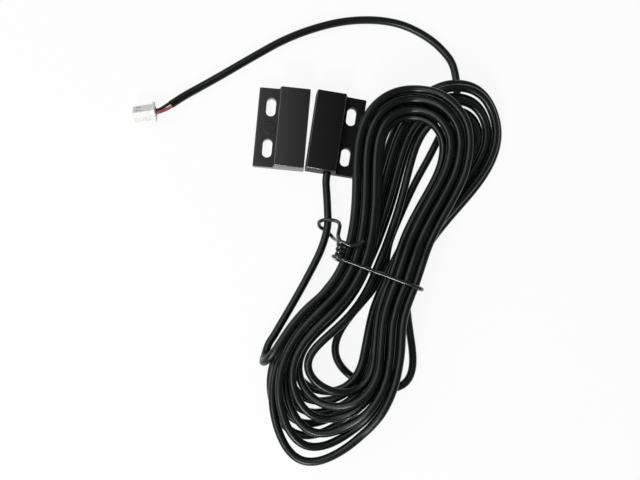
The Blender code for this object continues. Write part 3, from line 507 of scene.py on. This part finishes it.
def shrunk_sleeve():
    """Heat-shrunk sleeve: dull black with the faint wrinkles of the shrinking."""
    surface, tree, shader, place = blank("shrunk_black_sleeve")
    scale = (1 / (0.8 * MM), 1 / (0.4 * MM), 1 / (0.8 * MM))
    creased = add(tree, "ShaderNodeMapping", {"Vector": place, "Scale": scale})
    folds = add(tree, "ShaderNodeTexNoise", {"Vector": creased, "Scale": 1.0, "Detail": 2.0})
    patterned(
        tree, shader, tint_by=folds, tints=("0e0e0e", "1c1c1c"), rough_by=folds, rough=(0.45, 0.6),
        relief_by=folds, strength=0.3, depth=0.05 * MM,
    )
    return surface


def core_insulation(name, tints):
    """Core insulation where no strand marks are kept: smooth PVC with a slow cloudiness and fine peel."""
    surface, tree, shader, place = blank(name)
    cloud = add(tree, "ShaderNodeTexNoise", {"Vector": place, "Scale": 1 / (4 * MM), "Detail": 2.0})
    peel = add(tree, "ShaderNodeTexNoise", {"Vector": place, "Scale": 1 / (0.4 * MM), "Detail": 2.0})
    patterned(
        tree, shader, tint_by=cloud, tints=tints, rough_by=cloud, rough=(0.3, 0.42),
        relief_by=peel, strength=0.12, depth=0.02 * MM,
    )
    return surface


def add_mesh(name, shape, surface=None):
    """Adds a mesh object from a bmesh, with its faces turned outwards."""
    bmesh.ops.recalc_face_normals(shape, faces=shape.faces)
    mesh = bpy.data.meshes.new(name)
    shape.to_mesh(mesh)
    shape.free()
    piece = bpy.data.objects.new(name, mesh)
    bpy.context.scene.collection.objects.link(piece)
    if surface:
        mesh.materials.append(surface)
    return piece


def cut(piece, cutter, operation="DIFFERENCE"):
    """Cuts a piece with another mesh, or joins the two."""
    step = piece.modifiers.new(cutter.name, "BOOLEAN")
    step.operation = operation
    step.solver = "EXACT"
    step.object = cutter
    cutter.hide_render = True


def settle(piece, place=None, crease=CREASE):
    """Makes a piece's modifiers part of its mesh, moves the mesh into place and clears what made it."""
    helpers = [step.object for step in piece.modifiers if step.type == "BOOLEAN"]
    whole = piece.evaluated_get(bpy.context.evaluated_depsgraph_get())
    mesh = bpy.data.meshes.new_from_object(whole)
    piece.modifiers.clear()
    piece.data = mesh
    for helper in helpers:
        bpy.data.objects.remove(helper, do_unlink=True)
    if place:
        mesh.transform(place)
    mesh.shade_smooth()
    mesh.set_sharp_from_angle(angle=crease)
    return piece


def skin(rings):
    """Joins rings of points that have the same count, and caps both ends."""
    shape = bmesh.new()
    loops = [[shape.verts.new(point) for point in ring] for ring in rings]
    for low, high in zip(loops, loops[1:]):
        for i in range(len(low)):
            j = (i + 1) % len(low)
            shape.faces.new((low[i], low[j], high[j], high[i]))
    shape.faces.new(list(reversed(loops[0])))
    shape.faces.new(loops[-1])
    return shape


def box(low, high, edge=0.0):
    """Makes a box between two corners, with its edges rounded over."""
    shape = bmesh.new()
    bmesh.ops.create_cube(shape, size=1.0)
    low, high = Vector(low), Vector(high)
    for vert in shape.verts:
        share = vert.co + Vector((0.5, 0.5, 0.5))
        vert.co = Vector(low[i] + share[i] * (high[i] - low[i]) for i in range(3))
    if edge:
        bmesh.ops.bevel(
            shape, geom=list(shape.edges), offset=edge, segments=PLUG_EDGE_SEGMENTS, profile=0.5,
            affect="EDGES",
        )
    return shape


def rounded_rectangle(half_x, half_y, radius, steps=6):
    """Gives the outline of a rectangle with round corners."""
    outline = []
    for quarter, (sx, sy) in enumerate(((1, 1), (-1, 1), (-1, -1), (1, -1))):
        for i in range(steps + 1):
            angle = (quarter + i / steps) * pi / 2
            corner_x = sx * (half_x - radius) + radius * cos(angle)
            corner_y = sy * (half_y - radius) + radius * sin(angle)
            outline.append((corner_x, corner_y))
    return outline


def slot_outline(grown):
    """Gives a screw slot's outline, grown outwards all round by the given amount."""
    radius = SLOT_WIDTH / 2 + grown
    straight = (SLOT_LENGTH - SLOT_WIDTH) / 2
    arc = [pi * i / SLOT_ARC_STEPS for i in range(SLOT_ARC_STEPS + 1)]
    upper = [(radius * cos(a), straight + radius * sin(a)) for a in arc]
    return upper + [(-x, -y) for x, y in upper]


def circle(radius, steps=CIRCLE_SIDES):
    """Gives points round a circle."""
    return [(radius * cos(2 * pi * i / steps), radius * sin(2 * pi * i / steps)) for i in range(steps)]


def stacked(levels, middle_x=0.0, middle_y=0.0):
    """Makes an upright solid from (outline, height) levels."""
    return skin([[(middle_x + x, middle_y + y, z) for x, y in outline] for outline, z in levels])


def housing_shell(side):
    """Makes one half's outside: a drafted block and its flange, rounded at every edge but the inner one."""
    taper = DRAFT / BLOCK_HEIGHT
    step_x = BLOCK_NEAR - taper * FLANGE_THICKNESS
    profile = (
        (SLOT_INSET, 0.0),
        (SLOT_INSET - taper * FLANGE_THICKNESS, FLANGE_THICKNESS),
        (step_x, FLANGE_THICKNESS),
        (BLOCK_NEAR - DRAFT, BLOCK_HEIGHT),
        (BLOCK_FAR + DRAFT, BLOCK_HEIGHT),
        (BLOCK_FAR, 0.0),
    )
    shell = skin([[(side * x, end * (HALF_LENGTH - taper * z), z) for x, z in profile] for end in (-1, 1)])
    outer = [e for e in shell.edges if any(v.co.z > 0 for v in e.verts)]
    inner_corner = [
        e for e in outer
        if all(abs(v.co.z - FLANGE_THICKNESS) < EDGE_RADIUS and abs(v.co.x - side * step_x) < EDGE_RADIUS
               for v in e.verts)
    ]
    rounded = [e for e in outer if e not in inner_corner]
    bmesh.ops.bevel(
        shell, geom=rounded, offset=EDGE_RADIUS, segments=EDGE_SEGMENTS, profile=0.5, affect="EDGES",
        clamp_overlap=True,
    )
    return shell


def mark_edge_wear_and_highlight(mesh, sheen):
    """Marks each face of a half: its rounded edges, its sheen from 0 to 1, and what is polished.

    The rounded edges are painted paler: partly rubbed wear, partly a painted highlight.
    """
    rubbed_and_highlit = mesh.attributes.new("rubbed_and_highlit", "FLOAT", "FACE")
    gloss = mesh.attributes.new("sheen", "FLOAT", "FACE")
    polish = mesh.attributes.new("polished", "FLOAT", "FACE")
    for face in mesh.polygons:
        upward = abs(face.normal.z)
        at_end = abs(face.center.y) > HALF_LENGTH - PAST
        corner = min(abs(face.normal.x), abs(face.normal.y)) > CORNER_SLOPE and at_end
        on_mark = face.center.to_2d().length < MARK_RADIUS + 2 * MARK_SLOPE
        # Rounded edges and end corners are painted paler, partly as rubbed wear and partly as a painted
        # highlight
        wear_and_painted_highlight = float((WALL_SLOPE < upward < FLAT_SLOPE or corner) and not on_mark)
        rubbed_and_highlit.data[face.index].value = wear_and_painted_highlight
        gloss.data[face.index].value = sheen
        polish.data[face.index].value = max(wear_and_painted_highlight, sheen * float(upward < WALL_SLOPE))


def housing(name, side, surface, sheen, place=None):
    """Moulds one half: its shell, a cavity open at the back, and two slots with broken rims.

    side is 1 with the flange towards +X, as the switch half has it, and -1 with it towards -X. The switch
    half has a cable hole, and the magnet half has the round mark of a mould pin on its flange.
    """
    piece = add_mesh(name, housing_shell(side), surface)
    outline = rounded_rectangle(BLOCK_WIDTH / 2 - WALL, CAVITY_END, CAVITY_CORNER)
    levels = ((outline, -PAST), (outline, BLOCK_HEIGHT - ROOF))
    cut(piece, add_mesh(name + "_cavity", stacked(levels, side * (BLOCK_NEAR + BLOCK_FAR) / 2)))
    for end in (-1, 1):
        levels = (
            (slot_outline(0.0), -PAST),
            (slot_outline(0.0), FLANGE_THICKNESS - SLOT_RIM),
            (slot_outline(SLOT_RIM), FLANGE_THICKNESS),
            (slot_outline(SLOT_RIM), FLANGE_THICKNESS + PAST),
        )
        cut(piece, add_mesh(f"{name}_slot_{end}", stacked(levels, 0.0, end * SLOT_SPACING / 2)))
    if side < 0:
        levels = (
            (circle(MARK_RADIUS + 2 * MARK_SLOPE), FLANGE_THICKNESS - MARK_HEIGHT),
            (circle(MARK_RADIUS), FLANGE_THICKNESS + MARK_HEIGHT),
        )
        cut(piece, add_mesh(name + "_pin_mark", stacked(levels)), "UNION")
    else:
        ends = (-HALF_LENGTH - PAST, -CAVITY_END + PAST)
        hole = circle(CABLE_RADIUS + SEAT, HOLE_SIDES)
        rings = [[(CABLE_X + x, y, CABLE_HEIGHT + z) for x, z in hole] for y in ends]
        cut(piece, add_mesh(name + "_cable_hole", skin(rings)))
    settle(piece, crease=FINE_CREASE)
    mark_edge_wear_and_highlight(piece.data, sheen)
    if place:
        piece.data.transform(place)
    return piece


def smooth_step(value):
    """Rises from 0 to 1 with no corner at either end."""
    value = min(max(value, 0.0), 1.0)
    return value ** 3 * (10 - 15 * value + 6 * value * value)


def curve_through(points, steps=24):
    """Reads a smooth curve that passes through each of the given points."""
    points = [Vector(p) for p in points]
    ends = [2 * points[0] - points[1]] + points + [2 * points[-1] - points[-2]]
    path = []
    for i in range(1, len(ends) - 2):
        before, start, stop, after = ends[i - 1:i + 3]
        knots = [0.0]
        for a, b in ((before, start), (start, stop), (stop, after)):
            knots.append(knots[-1] + (b - a).length ** 0.5)
        t0, t1, t2, t3 = knots
        for step in range(steps):
            t = t1 + (t2 - t1) * step / steps
            a1 = before.lerp(start, (t - t0) / (t1 - t0))
            a2 = start.lerp(stop, (t - t1) / (t2 - t1))
            a3 = stop.lerp(after, (t - t2) / (t3 - t2))
            b1 = a1.lerp(a2, (t - t0) / (t2 - t0))
            b2 = a2.lerp(a3, (t - t1) / (t3 - t1))
            path.append(b1.lerp(b2, (t - t1) / (t2 - t1)))
    return path + [points[-1]]


def even_points(path, spacing):
    """Spreads points evenly along a path, about one spacing apart."""
    lengths = [0.0]
    for a, b in zip(path, path[1:]):
        lengths.append(lengths[-1] + (b - a).length)
    count = max(2, round(lengths[-1] / spacing))
    points, k = [], 0
    for i in range(count + 1):
        along = lengths[-1] * i / count
        while k < len(path) - 2 and lengths[k + 1] < along:
            k += 1
        share = (along - lengths[k]) / (lengths[k + 1] - lengths[k])
        points.append(path[k].lerp(path[k + 1], share))
    return points


def strand_tree():
    """Builds the node tree that draws a round strand along a run, and marks each spot's place on it."""
    tree = bpy.data.node_groups.new("round_strand", "GeometryNodeTree")
    kinds = {"Run": "Geometry", "Radius": "Float", "Sides": "Int", "Finish": "Material"}
    named = {}
    for name, kind in kinds.items():
        socket = tree.interface.new_socket(name, in_out="INPUT", socket_type="NodeSocket" + kind)
        named[name] = socket.identifier
    tree.interface.new_socket("Strand", in_out="OUTPUT", socket_type="NodeSocketGeometry")
    given = add(tree, "NodeGroupInput").outputs
    run = add(tree, "GeometryNodeMeshToCurve", {"Mesh": given["Run"]})
    length = add(tree, "GeometryNodeSplineParameter").outputs["Length"]
    marked = add(
        tree, "GeometryNodeStoreNamedAttribute",
        {"Geometry": run, "Name": "along", "Value": length}, data_type="FLOAT", domain="POINT",
    )
    ring = add(
        tree, "GeometryNodeCurvePrimitiveCircle", {"Resolution": given["Sides"], "Radius": given["Radius"]}
    )
    spot = add(tree, "GeometryNodeInputPosition")
    section = add(
        tree, "GeometryNodeStoreNamedAttribute",
        {"Geometry": ring, "Name": "round", "Value": spot}, data_type="FLOAT_VECTOR", domain="POINT",
    )
    tube = add(
        tree, "GeometryNodeCurveToMesh", {"Curve": marked, "Profile Curve": section, "Fill Caps": True}
    )
    whole = add(tree, "GeometryNodeRealizeInstances", {"Geometry": tube})
    finished = add(tree, "GeometryNodeSetMaterial", {"Geometry": whole, "Material": given["Finish"]})
    add(tree, "NodeGroupOutput", {"Strand": finished})
    return tree, named


def strand(name, points, radius, sides, surface, maker):
    """Draws one round strand along a run of points."""
    tree, named = maker
    mesh = bpy.data.meshes.new(name)
    mesh.from_pydata(points, [(i, i + 1) for i in range(len(points) - 1)], [])
    piece = bpy.data.objects.new(name, mesh)
    bpy.context.scene.collection.objects.link(piece)
    step = piece.modifiers.new("strand", "NODES")
    step.node_group = tree
    step[named["Radius"]] = radius
    step[named["Sides"]] = sides
    step[named["Finish"]] = surface
    return settle(piece)


def hank_axes(p, q):
    """Turns a place in the hank's own axes into X and Y."""
    x = HANK_PLACE.x + p * cos(HANK_TURN) - q * sin(HANK_TURN)
    y = HANK_PLACE.y + p * sin(HANK_TURN) + q * cos(HANK_TURN)
    return Vector((x, y))


def drawn_in(angle, waist, half, lean, power):
    """Gives a loop's place across the hank: from its waist, it swells to its half width and leans aside."""
    share = abs(sin(angle)) ** power
    fullest = 2 * half - waist * 2 ** 0.5
    return cos(angle) * (waist + fullest * share) + lean * abs(sin(angle)) ** LEAN_POWER


def inmost_loop(angle, layer):
    """Gives a place on a layer's inmost loop, in the hank's own axes."""
    depth = sin(angle)
    if depth >= 0:
        reach, lean, half = layer.top, layer.top_lean, layer.top_half
    else:
        reach, lean, half = layer.bottom, layer.bottom_lean, layer.bottom_half
    return Vector((drawn_in(angle, WAIST_HALF, half, lean, LOBE_POWER), reach * depth))


def went_down(turn):
    """Gives how far the cable has gone down from the upper layer to the lower one, from 0 to 1."""
    return smooth_step((turn - REVERSAL) / CLIMB_TURNS + 0.5)


def on_top(turn):
    """Gives 1 on a layer's upper level and 0 on its lower one."""
    swap = floor(turn - LOWER_END + 0.5)
    done = smooth_step((turn - LOWER_END - swap) / SWAP_TURNS + 0.5)
    return done if swap % 2 else 1 - done


def loop_place(turn):
    """Gives the hank's centre line at a turn: it spirals in on the upper layer and out on the lower one."""
    angle = pi - 2 * pi * turn
    if turn > LAST_RUN:
        middle, waist = (WAIST_RIGHT + TAIL_SLOT) / 2, (WAIST_RIGHT - TAIL_SLOT) / 2
        across = drawn_in(angle, waist, FOLD_HALF, FOLD_LEAN, FOLD_POWER)
        return Vector((middle + across, FOLD_REACH * sin(angle)))
    layer = LOWER_LAYER if turn >= REVERSAL else UPPER_LAYER
    loops_out = abs(turn - REVERSAL)
    room = LOWER_ROOM if turn >= REVERSAL else UPPER_ROOM
    steps_out = loops_out + room * smooth_step(loops_out / ROOM_TURNS)
    nudge = 0.0001
    along = inmost_loop(angle - nudge, layer) - inmost_loop(angle + nudge, layer)
    outwards = Vector((-along.y, along.x)).normalized()
    depth = sin(angle)
    more = layer.top_more if depth >= 0 else -layer.bottom_more
    further = Vector((0, more * loops_out * depth ** REACH_POWER))
    return inmost_loop(angle, layer) + outwards * LOOP_STEP * steps_out + further


def crossed_runs():
    """Gives places along the strands that the bundle lies on: the last fold and the tail's way out."""
    turns = [LAST_RUN + (HANK_END - LAST_RUN) * i / FOLD_POINTS for i in range(FOLD_POINTS + 1)]
    fold = [hank_axes(*place) for place in map(loop_place, turns) if place.y < -FOLD_REACH * FOLD_SHARE]
    tail = [Vector(point[:2]) * MM for point in TAIL_ROUTE[WAY_OUT]]
    shares = [i / WAY_OUT_POINTS for i in range(WAY_OUT_POINTS + 1)]
    way_out = [a.lerp(b, share) for a, b in zip(tail, tail[1:]) for share in shares]
    return fold + way_out


def loop_height(turn, place, runs):
    """Gives the centre line's height: its layer's level, lifted at the waist and over the crossed strands."""
    waist = WAIST_RISE * smooth_step((WAIST_RUN_OUT - abs(place.y)) / WAIST_RAMP)
    if turn > LAST_RUN:
        return LAID + waist
    spot = hank_axes(*place)
    nearest = min((spot - run).length for run in runs)
    lifted = smooth_step((CROSSING_RUN_OUT - nearest) / CROSSING_RAMP)
    level = LAYER_LIFT * (1 - went_down(turn)) + LEVEL_STEP * on_top(turn)
    return LAID + CROSSING_RISE * lifted + waist * (1 - lifted) + level


def in_metres(route):
    """Turns a route's points from millimetres into metres."""
    return [Vector(point) * MM for point in route]


def cable_run():
    """Lays the whole cable as one run of points: the lead, the hank's loops and the tail."""
    runs = crossed_runs()
    hank = []
    for i in range(round((HANK_END - HANK_START) * LOOP_POINTS) + 1):
        turn = HANK_START + i / LOOP_POINTS
        place = loop_place(turn)
        hank.append(Vector((*hank_axes(*place), loop_height(turn, place, runs))))
    straight = 2 * CABLE_RADIUS
    inside = [Vector((CABLE_X, y, CABLE_HEIGHT)) for y in (JACKET_END, -HALF_LENGTH - straight)]
    lead = inside + in_metres(LEAD_ROUTE)
    lead.append(hank[0] - (hank[1] - hank[0]).normalized() * straight)
    tail = [hank[-1] + (hank[-1] - hank[-2]).normalized() * straight] + in_metres(TAIL_ROUTE)
    return even_points(curve_through(lead + hank + tail), CABLE_SPACING)


def tie_run():
    """Bends the wire tie: a free end, a twist, a band round the waist, the twist's other wire and a ring."""
    left = -WAIST_LEFT - TIE_REACH
    right = max(WAIST_RIGHT, UPPER_WAIST_RIGHT) + TIE_REACH
    shoulder = (TIE_REACH + TWIST_RADIUS) * 0.5 ** 0.5

    def at(p, q, z):
        """Gives a point from its place in the hank's own axes and its height."""
        return Vector((*hank_axes(p, q), z))

    low = at(-WAIST_LEFT - shoulder, TWIST_FOOT, UPPER_WAIST_LEVEL + shoulder)
    high = at(-WAIST_LEFT - shoulder - TWIST_LEAN, TWIST_TIP, UPPER_WAIST_LEVEL + shoulder)
    axis = (high - low).normalized()
    side = axis.cross(Vector((0, 0, 1))).normalized()
    up = side.cross(axis)

    def twist(phase):
        """Winds one of the twist's two wires from its foot to its tip."""
        count = round(TWIST_TURNS * TWIST_POINTS)
        turns = [phase - 2 * pi * i / TWIST_POINTS for i in range(count + 1)]
        middle = [low.lerp(high, i / count) for i in range(count + 1)]
        return [m + (side * cos(t) + up * sin(t)) * TWIST_RADIUS for m, t in zip(middle, turns)]

    # From the twist over the top, down the right side, back under the bundle and up to the twist again
    band = [
        at(-WAIST_LEFT - 1.0 * MM, 0, TIE_TOP - 0.1 * MM),
        at(-WAIST_LEFT + TIE_CORNER, 0, TIE_TOP),
        at(0, 0, TIE_TOP),
        at(right - TIE_CORNER, 0, TIE_TOP),
        at(right, 0, TIE_TOP - TIE_CORNER),
        at(right, 0, (TIE_TOP + TIE_FLOOR) / 2),
        at(right - 0.3 * TIE_CORNER, 0, TIE_FLOOR + 0.2 * TIE_CORNER),
        at(right - 1.4 * TIE_CORNER, 0, TIE_FLOOR),
        at(right - 3 * TIE_CORNER, 0, TIE_FLOOR),
        at(0, 0, TIE_FLOOR),
        at(left + 3 * TIE_CORNER, 0, TIE_FLOOR),
        at(left + 1.4 * TIE_CORNER, 0, TIE_FLOOR),
        at(left + 0.2 * TIE_CORNER, 0, TIE_FLOOR + 0.6 * TIE_CORNER),
        at(left - 0.3 * TIE_CORNER, 0, 0.45 * low.z),
        at(left - 0.8 * TIE_CORNER, 0, 0.85 * low.z),
        at(left - 0.6 * TIE_CORNER, 0, low.z + 0.6 * MM),
    ]
    first_wire = list(reversed(twist(-pi / 2)))
    route = in_metres(TIE_FREE_END) + first_wire + band + twist(pi / 2) + in_metres(TIE_RING)
    points = even_points(curve_through(route), TIE_SPACING)
    return [Vector((p.x, p.y, max(p.z, TIE_FLOOR))) for p in points]


def plug_frame():
    """Gives the plug's own frame: X across its two ways, Y towards its mating end, Z out of its windows."""
    heading = Vector((cos(PLUG_HEADING), sin(PLUG_HEADING), 0.0))
    beside = Vector((heading.y, -heading.x, 0.0))
    upright = Vector((0.0, 0.0, 1.0))
    across = beside * cos(PLUG_ROLL) - upright * sin(PLUG_ROLL)
    windows = upright * cos(PLUG_ROLL) + beside * sin(PLUG_ROLL)
    height = (PLUG_FLANGE_WIDTH * sin(PLUG_ROLL) + PLUG_FLANGE_HEIGHT * cos(PLUG_ROLL)) / 2 + FLOOR_GAP
    turned = Matrix((across, heading, windows)).transposed().to_4x4()
    turned.translation = Vector((*PLUG_PLACE, height))
    return turned


def plug(surface):
    """Moulds the plug: a body with a wider rear plate, two through channels and grooved latch windows."""
    half_width, half_height = PLUG_BODY_WIDTH / 2, PLUG_BODY_HEIGHT / 2
    body = box((-half_width, 0, -half_height), (half_width, PLUG_LENGTH, half_height), PLUG_EDGE)
    piece = add_mesh("plug", body, surface)
    plate_width, plate_height = PLUG_FLANGE_WIDTH / 2, PLUG_FLANGE_HEIGHT / 2
    low = (-plate_width, 0, -plate_height)
    high = (plate_width, PLUG_FLANGE_THICKNESS, plate_height)
    plate = box(low, high, PLUG_EDGE)
    cut(piece, add_mesh("plug_rear_plate", plate), "UNION")
    for side in (-1, 1):
        way = side * PLUG_PITCH / 2
        low = (way - CHANNEL_WIDTH / 2, -PAST, -CHANNEL_HEIGHT / 2)
        high = (way + CHANNEL_WIDTH / 2, PLUG_LENGTH + PAST, CHANNEL_HEIGHT / 2)
        cut(piece, add_mesh(f"plug_channel_{side}", box(low, high)))
        front = PLUG_LENGTH - WINDOW_FROM_FRONT
        low = (way - WINDOW_WIDTH / 2, front - WINDOW_LENGTH, 0.0)
        high = (way + WINDOW_WIDTH / 2, front, PLUG_BODY_HEIGHT)
        cut(piece, add_mesh(f"plug_window_{side}", box(low, high)))
        low = (way - WINDOW_WIDTH / 2, front - PAST, half_height - GROOVE_DEPTH)
        high = (way + WINDOW_WIDTH / 2, PLUG_LENGTH + PAST, PLUG_BODY_HEIGHT)
        cut(piece, add_mesh(f"plug_groove_{side}", box(low, high)))
    return settle(piece, plug_frame())


def plug_wire_run(side, tail_end, heading):
    """Runs one core from the jacket's end into its channel of the plug."""
    turned = plug_frame()
    aside = Vector((-heading.y, heading.x, 0.0)).normalized()
    start = tail_end + heading * SEAT
    way = side * PLUG_PITCH / 2
    away = -side * aside * (WIRE_RADIUS + SEAT / 2)
    run = (
        start + away - heading * WIRE_RADIUS,
        start + away,
        start + away + heading * WIRE_RADIUS * 2,
        turned @ Vector((way, -WIRE_RADIUS * 2, 0.0)),
        turned @ Vector((way, 0.0, 0.0)),
        turned @ Vector((way, WIRE_STOP, 0.0)),
    )
    return even_points(curve_through(run), WIRE_SPACING)


def pale_floor():
    """Lays the pale floor, which looks white and keeps a faint shadow."""
    paper = bpy.data.materials.new("pale_paper")
    paper.use_nodes = True
    tree = paper.node_tree
    tree.nodes.clear()
    light_path = add(tree, "ShaderNodeLightPath").outputs
    seen = light_path["Is Camera Ray"]
    for ray in ("Is Glossy Ray", "Is Transmission Ray"):
        seen = add(tree, "ShaderNodeMath", {0: seen, 1: light_path[ray]}, operation="MAXIMUM").outputs[0]
    share = add(tree, "ShaderNodeMath", {0: seen, 1: FLOOR_GLOW}, operation="MULTIPLY")
    matt = add(tree, "ShaderNodeBsdfDiffuse", {"Color": colour("f4f4f4")})
    glow = add(tree, "ShaderNodeEmission", {"Color": colour("ffffff"), "Strength": 1.0})
    mixed = add(tree, "ShaderNodeMixShader", {0: share, 1: matt, 2: glow})
    add(tree, "ShaderNodeOutputMaterial", {"Surface": mixed})
    sheet = bmesh.new()
    bmesh.ops.create_grid(sheet, x_segments=1, y_segments=1, size=FLOOR_HALF)
    ground = add_mesh("floor", sheet, paper)
    ground.location.z = -FLOOR_GAP


def soft_sky():
    """Lights a soft sky, which is white where the camera sees it."""
    world = bpy.data.worlds.new("sky")
    bpy.context.scene.world = world
    world.use_nodes = True
    tree = world.node_tree
    tree.nodes.clear()
    seen = add(tree, "ShaderNodeLightPath").outputs["Is Camera Ray"]
    dim = add(tree, "ShaderNodeBackground", {"Color": colour("ffffff"), "Strength": SKY_LIGHT})
    white = add(tree, "ShaderNodeBackground", {"Color": colour("ffffff"), "Strength": 1.0})
    mixed = add(tree, "ShaderNodeMixShader", {0: seen, 1: dim, 2: white})
    add(tree, "ShaderNodeOutputWorld", {"Surface": mixed})


def lamp(name, place, aim, width, height, watts):
    """Hangs a soft light that faces a point."""
    data = bpy.data.lights.new(name, "AREA")
    data.shape = "RECTANGLE"
    data.size = width
    data.size_y = height
    data.energy = watts
    light = bpy.data.objects.new(name, data)
    light.location = place
    light.rotation_euler = (Vector(aim) - Vector(place)).to_track_quat("-Z", "Y").to_euler()
    bpy.context.scene.collection.objects.link(light)


def place_on(piece, body, slot_name, *replaced):
    """Puts a finished piece on its body, in the place of the part's own nodes."""
    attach(piece, body)
    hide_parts(*replaced)
    return piece


def paint(name, surface):
    """Gives one of the part's own nodes its finished surface."""
    node = nodes[name]
    node.data.materials.clear()
    node.data.materials.append(surface)


camera()

jacket = strand_material(
    "extruded_black_pvc", ("030404", "070908"), rough=(0.26, 0.36), line_depth=0.08, gloss=0.42
)
tie_coat = strand_material(
    "dipped_black_vinyl", ("08080a", "121214"), rough=(0.12, 0.18), line_depth=0.005, gloss=1.0
)
red_wire = strand_material("extruded_red_pvc", ("a2404a", "c8666e"), rough=(0.3, 0.42), line_depth=0.15)
black_wire = strand_material(
    "extruded_black_core_pvc", ("101112", "1e1f20"), rough=(0.3, 0.42), line_depth=0.15
)
abs_plastic = moulded_abs()
nylon = moulded_nylon()
epoxy = poured_epoxy()
ferrite = pressed_ferrite()
glass = drawn_glass()
sleeve = shrunk_sleeve()
red_core = core_insulation("smooth_red_pvc", ("9c2328", "b5343a"))
black_core = core_insulation("smooth_black_pvc", ("101011", "1c1c1e"))
reed_alloy = bright_metal(
    "drawn_nickel_iron", ("8f8d88", "c2bfb8"), grain_size=0.15 * MM, rough=(0.2, 0.36)
)
tinned = bright_metal(
    "stamped_tinned_brass", ("b9b7b2", "dddbd6"), grain_size=0.2 * MM, rough=(0.18, 0.34)
)

maker = strand_tree()
cable_points = cable_run()
cable = strand("cable", cable_points, CABLE_RADIUS, CABLE_SIDES, jacket, maker)
tie = strand("wire_tie_loop", tie_run(), TIE_RADIUS, TIE_SIDES, tie_coat, maker)
plug_body = plug(nylon)
tail_heading = (cable_points[-1] - cable_points[-2]).normalized()
red_run = plug_wire_run(-1, cable_points[-1], tail_heading)
black_run = plug_wire_run(1, cable_points[-1], tail_heading)
wire_red = strand("plug_wire_red", red_run, WIRE_RADIUS, WIRE_SIDES, red_wire, maker)
wire_black = strand("plug_wire_black", black_run, WIRE_RADIUS, WIRE_SIDES, black_wire, maker)
magnet_place = Matrix.Translation(MAGNET_HALF_PLACE) @ Matrix.Rotation(PAIR_TURN, 4, "Z")
switch_half = housing("switch_half", side=1, surface=abs_plastic, sheen=0.0)
magnet_half = housing("magnet_half", side=-1, surface=abs_plastic, sheen=1.0, place=magnet_place)

place_on(cable, "switch", "cable_jacket", "cable_lead", "cable_hank", "cable_tail")
place_on(tie, "switch", "tie_coat", "wire_tie")
place_on(plug_body, "switch", "plug_nylon", "plug_housing")
place_on(wire_red, "switch", "red_insulation", "plug_core_red")
place_on(wire_black, "switch", "black_insulation", "plug_core_black")
place_on(switch_half, "switch", "black_abs", "switch_housing")
place_on(magnet_half, "magnet", "black_abs", "magnet_housing")
for node_name in ("switch_potting", "magnet_potting"):
    paint(node_name, epoxy)
for node_name in ("reed_lead_fixed", "reed_lead_moving", "reed_blade"):
    paint(node_name, reed_alloy)
for node_name in ("splice_sleeve_red", "splice_sleeve_black"):
    paint(node_name, sleeve)
for node_name in ("plug_contact_red", "plug_contact_black"):
    paint(node_name, tinned)
paint("reed_glass", glass)
paint("bar_magnet", ferrite)
paint("inner_core_red", red_core)
paint("inner_core_black", black_core)

pale_floor()
soft_sky()
lamp("window_left", (-0.62, 0.15, 0.75), aim=(0.0, -0.04, 0.0), width=0.9, height=1.1, watts=4.5)
lamp("strip_front", (-0.14, -0.8, 0.55), aim=(0.0, -0.05, 0.0), width=0.3, height=0.16, watts=4.5)
lamp("softbox", (-0.45, -0.5, 0.7), aim=(0.0, -0.05, 0.0), width=0.32, height=0.4, watts=1.8)

bpy.context.scene.view_settings.view_transform = "Standard"
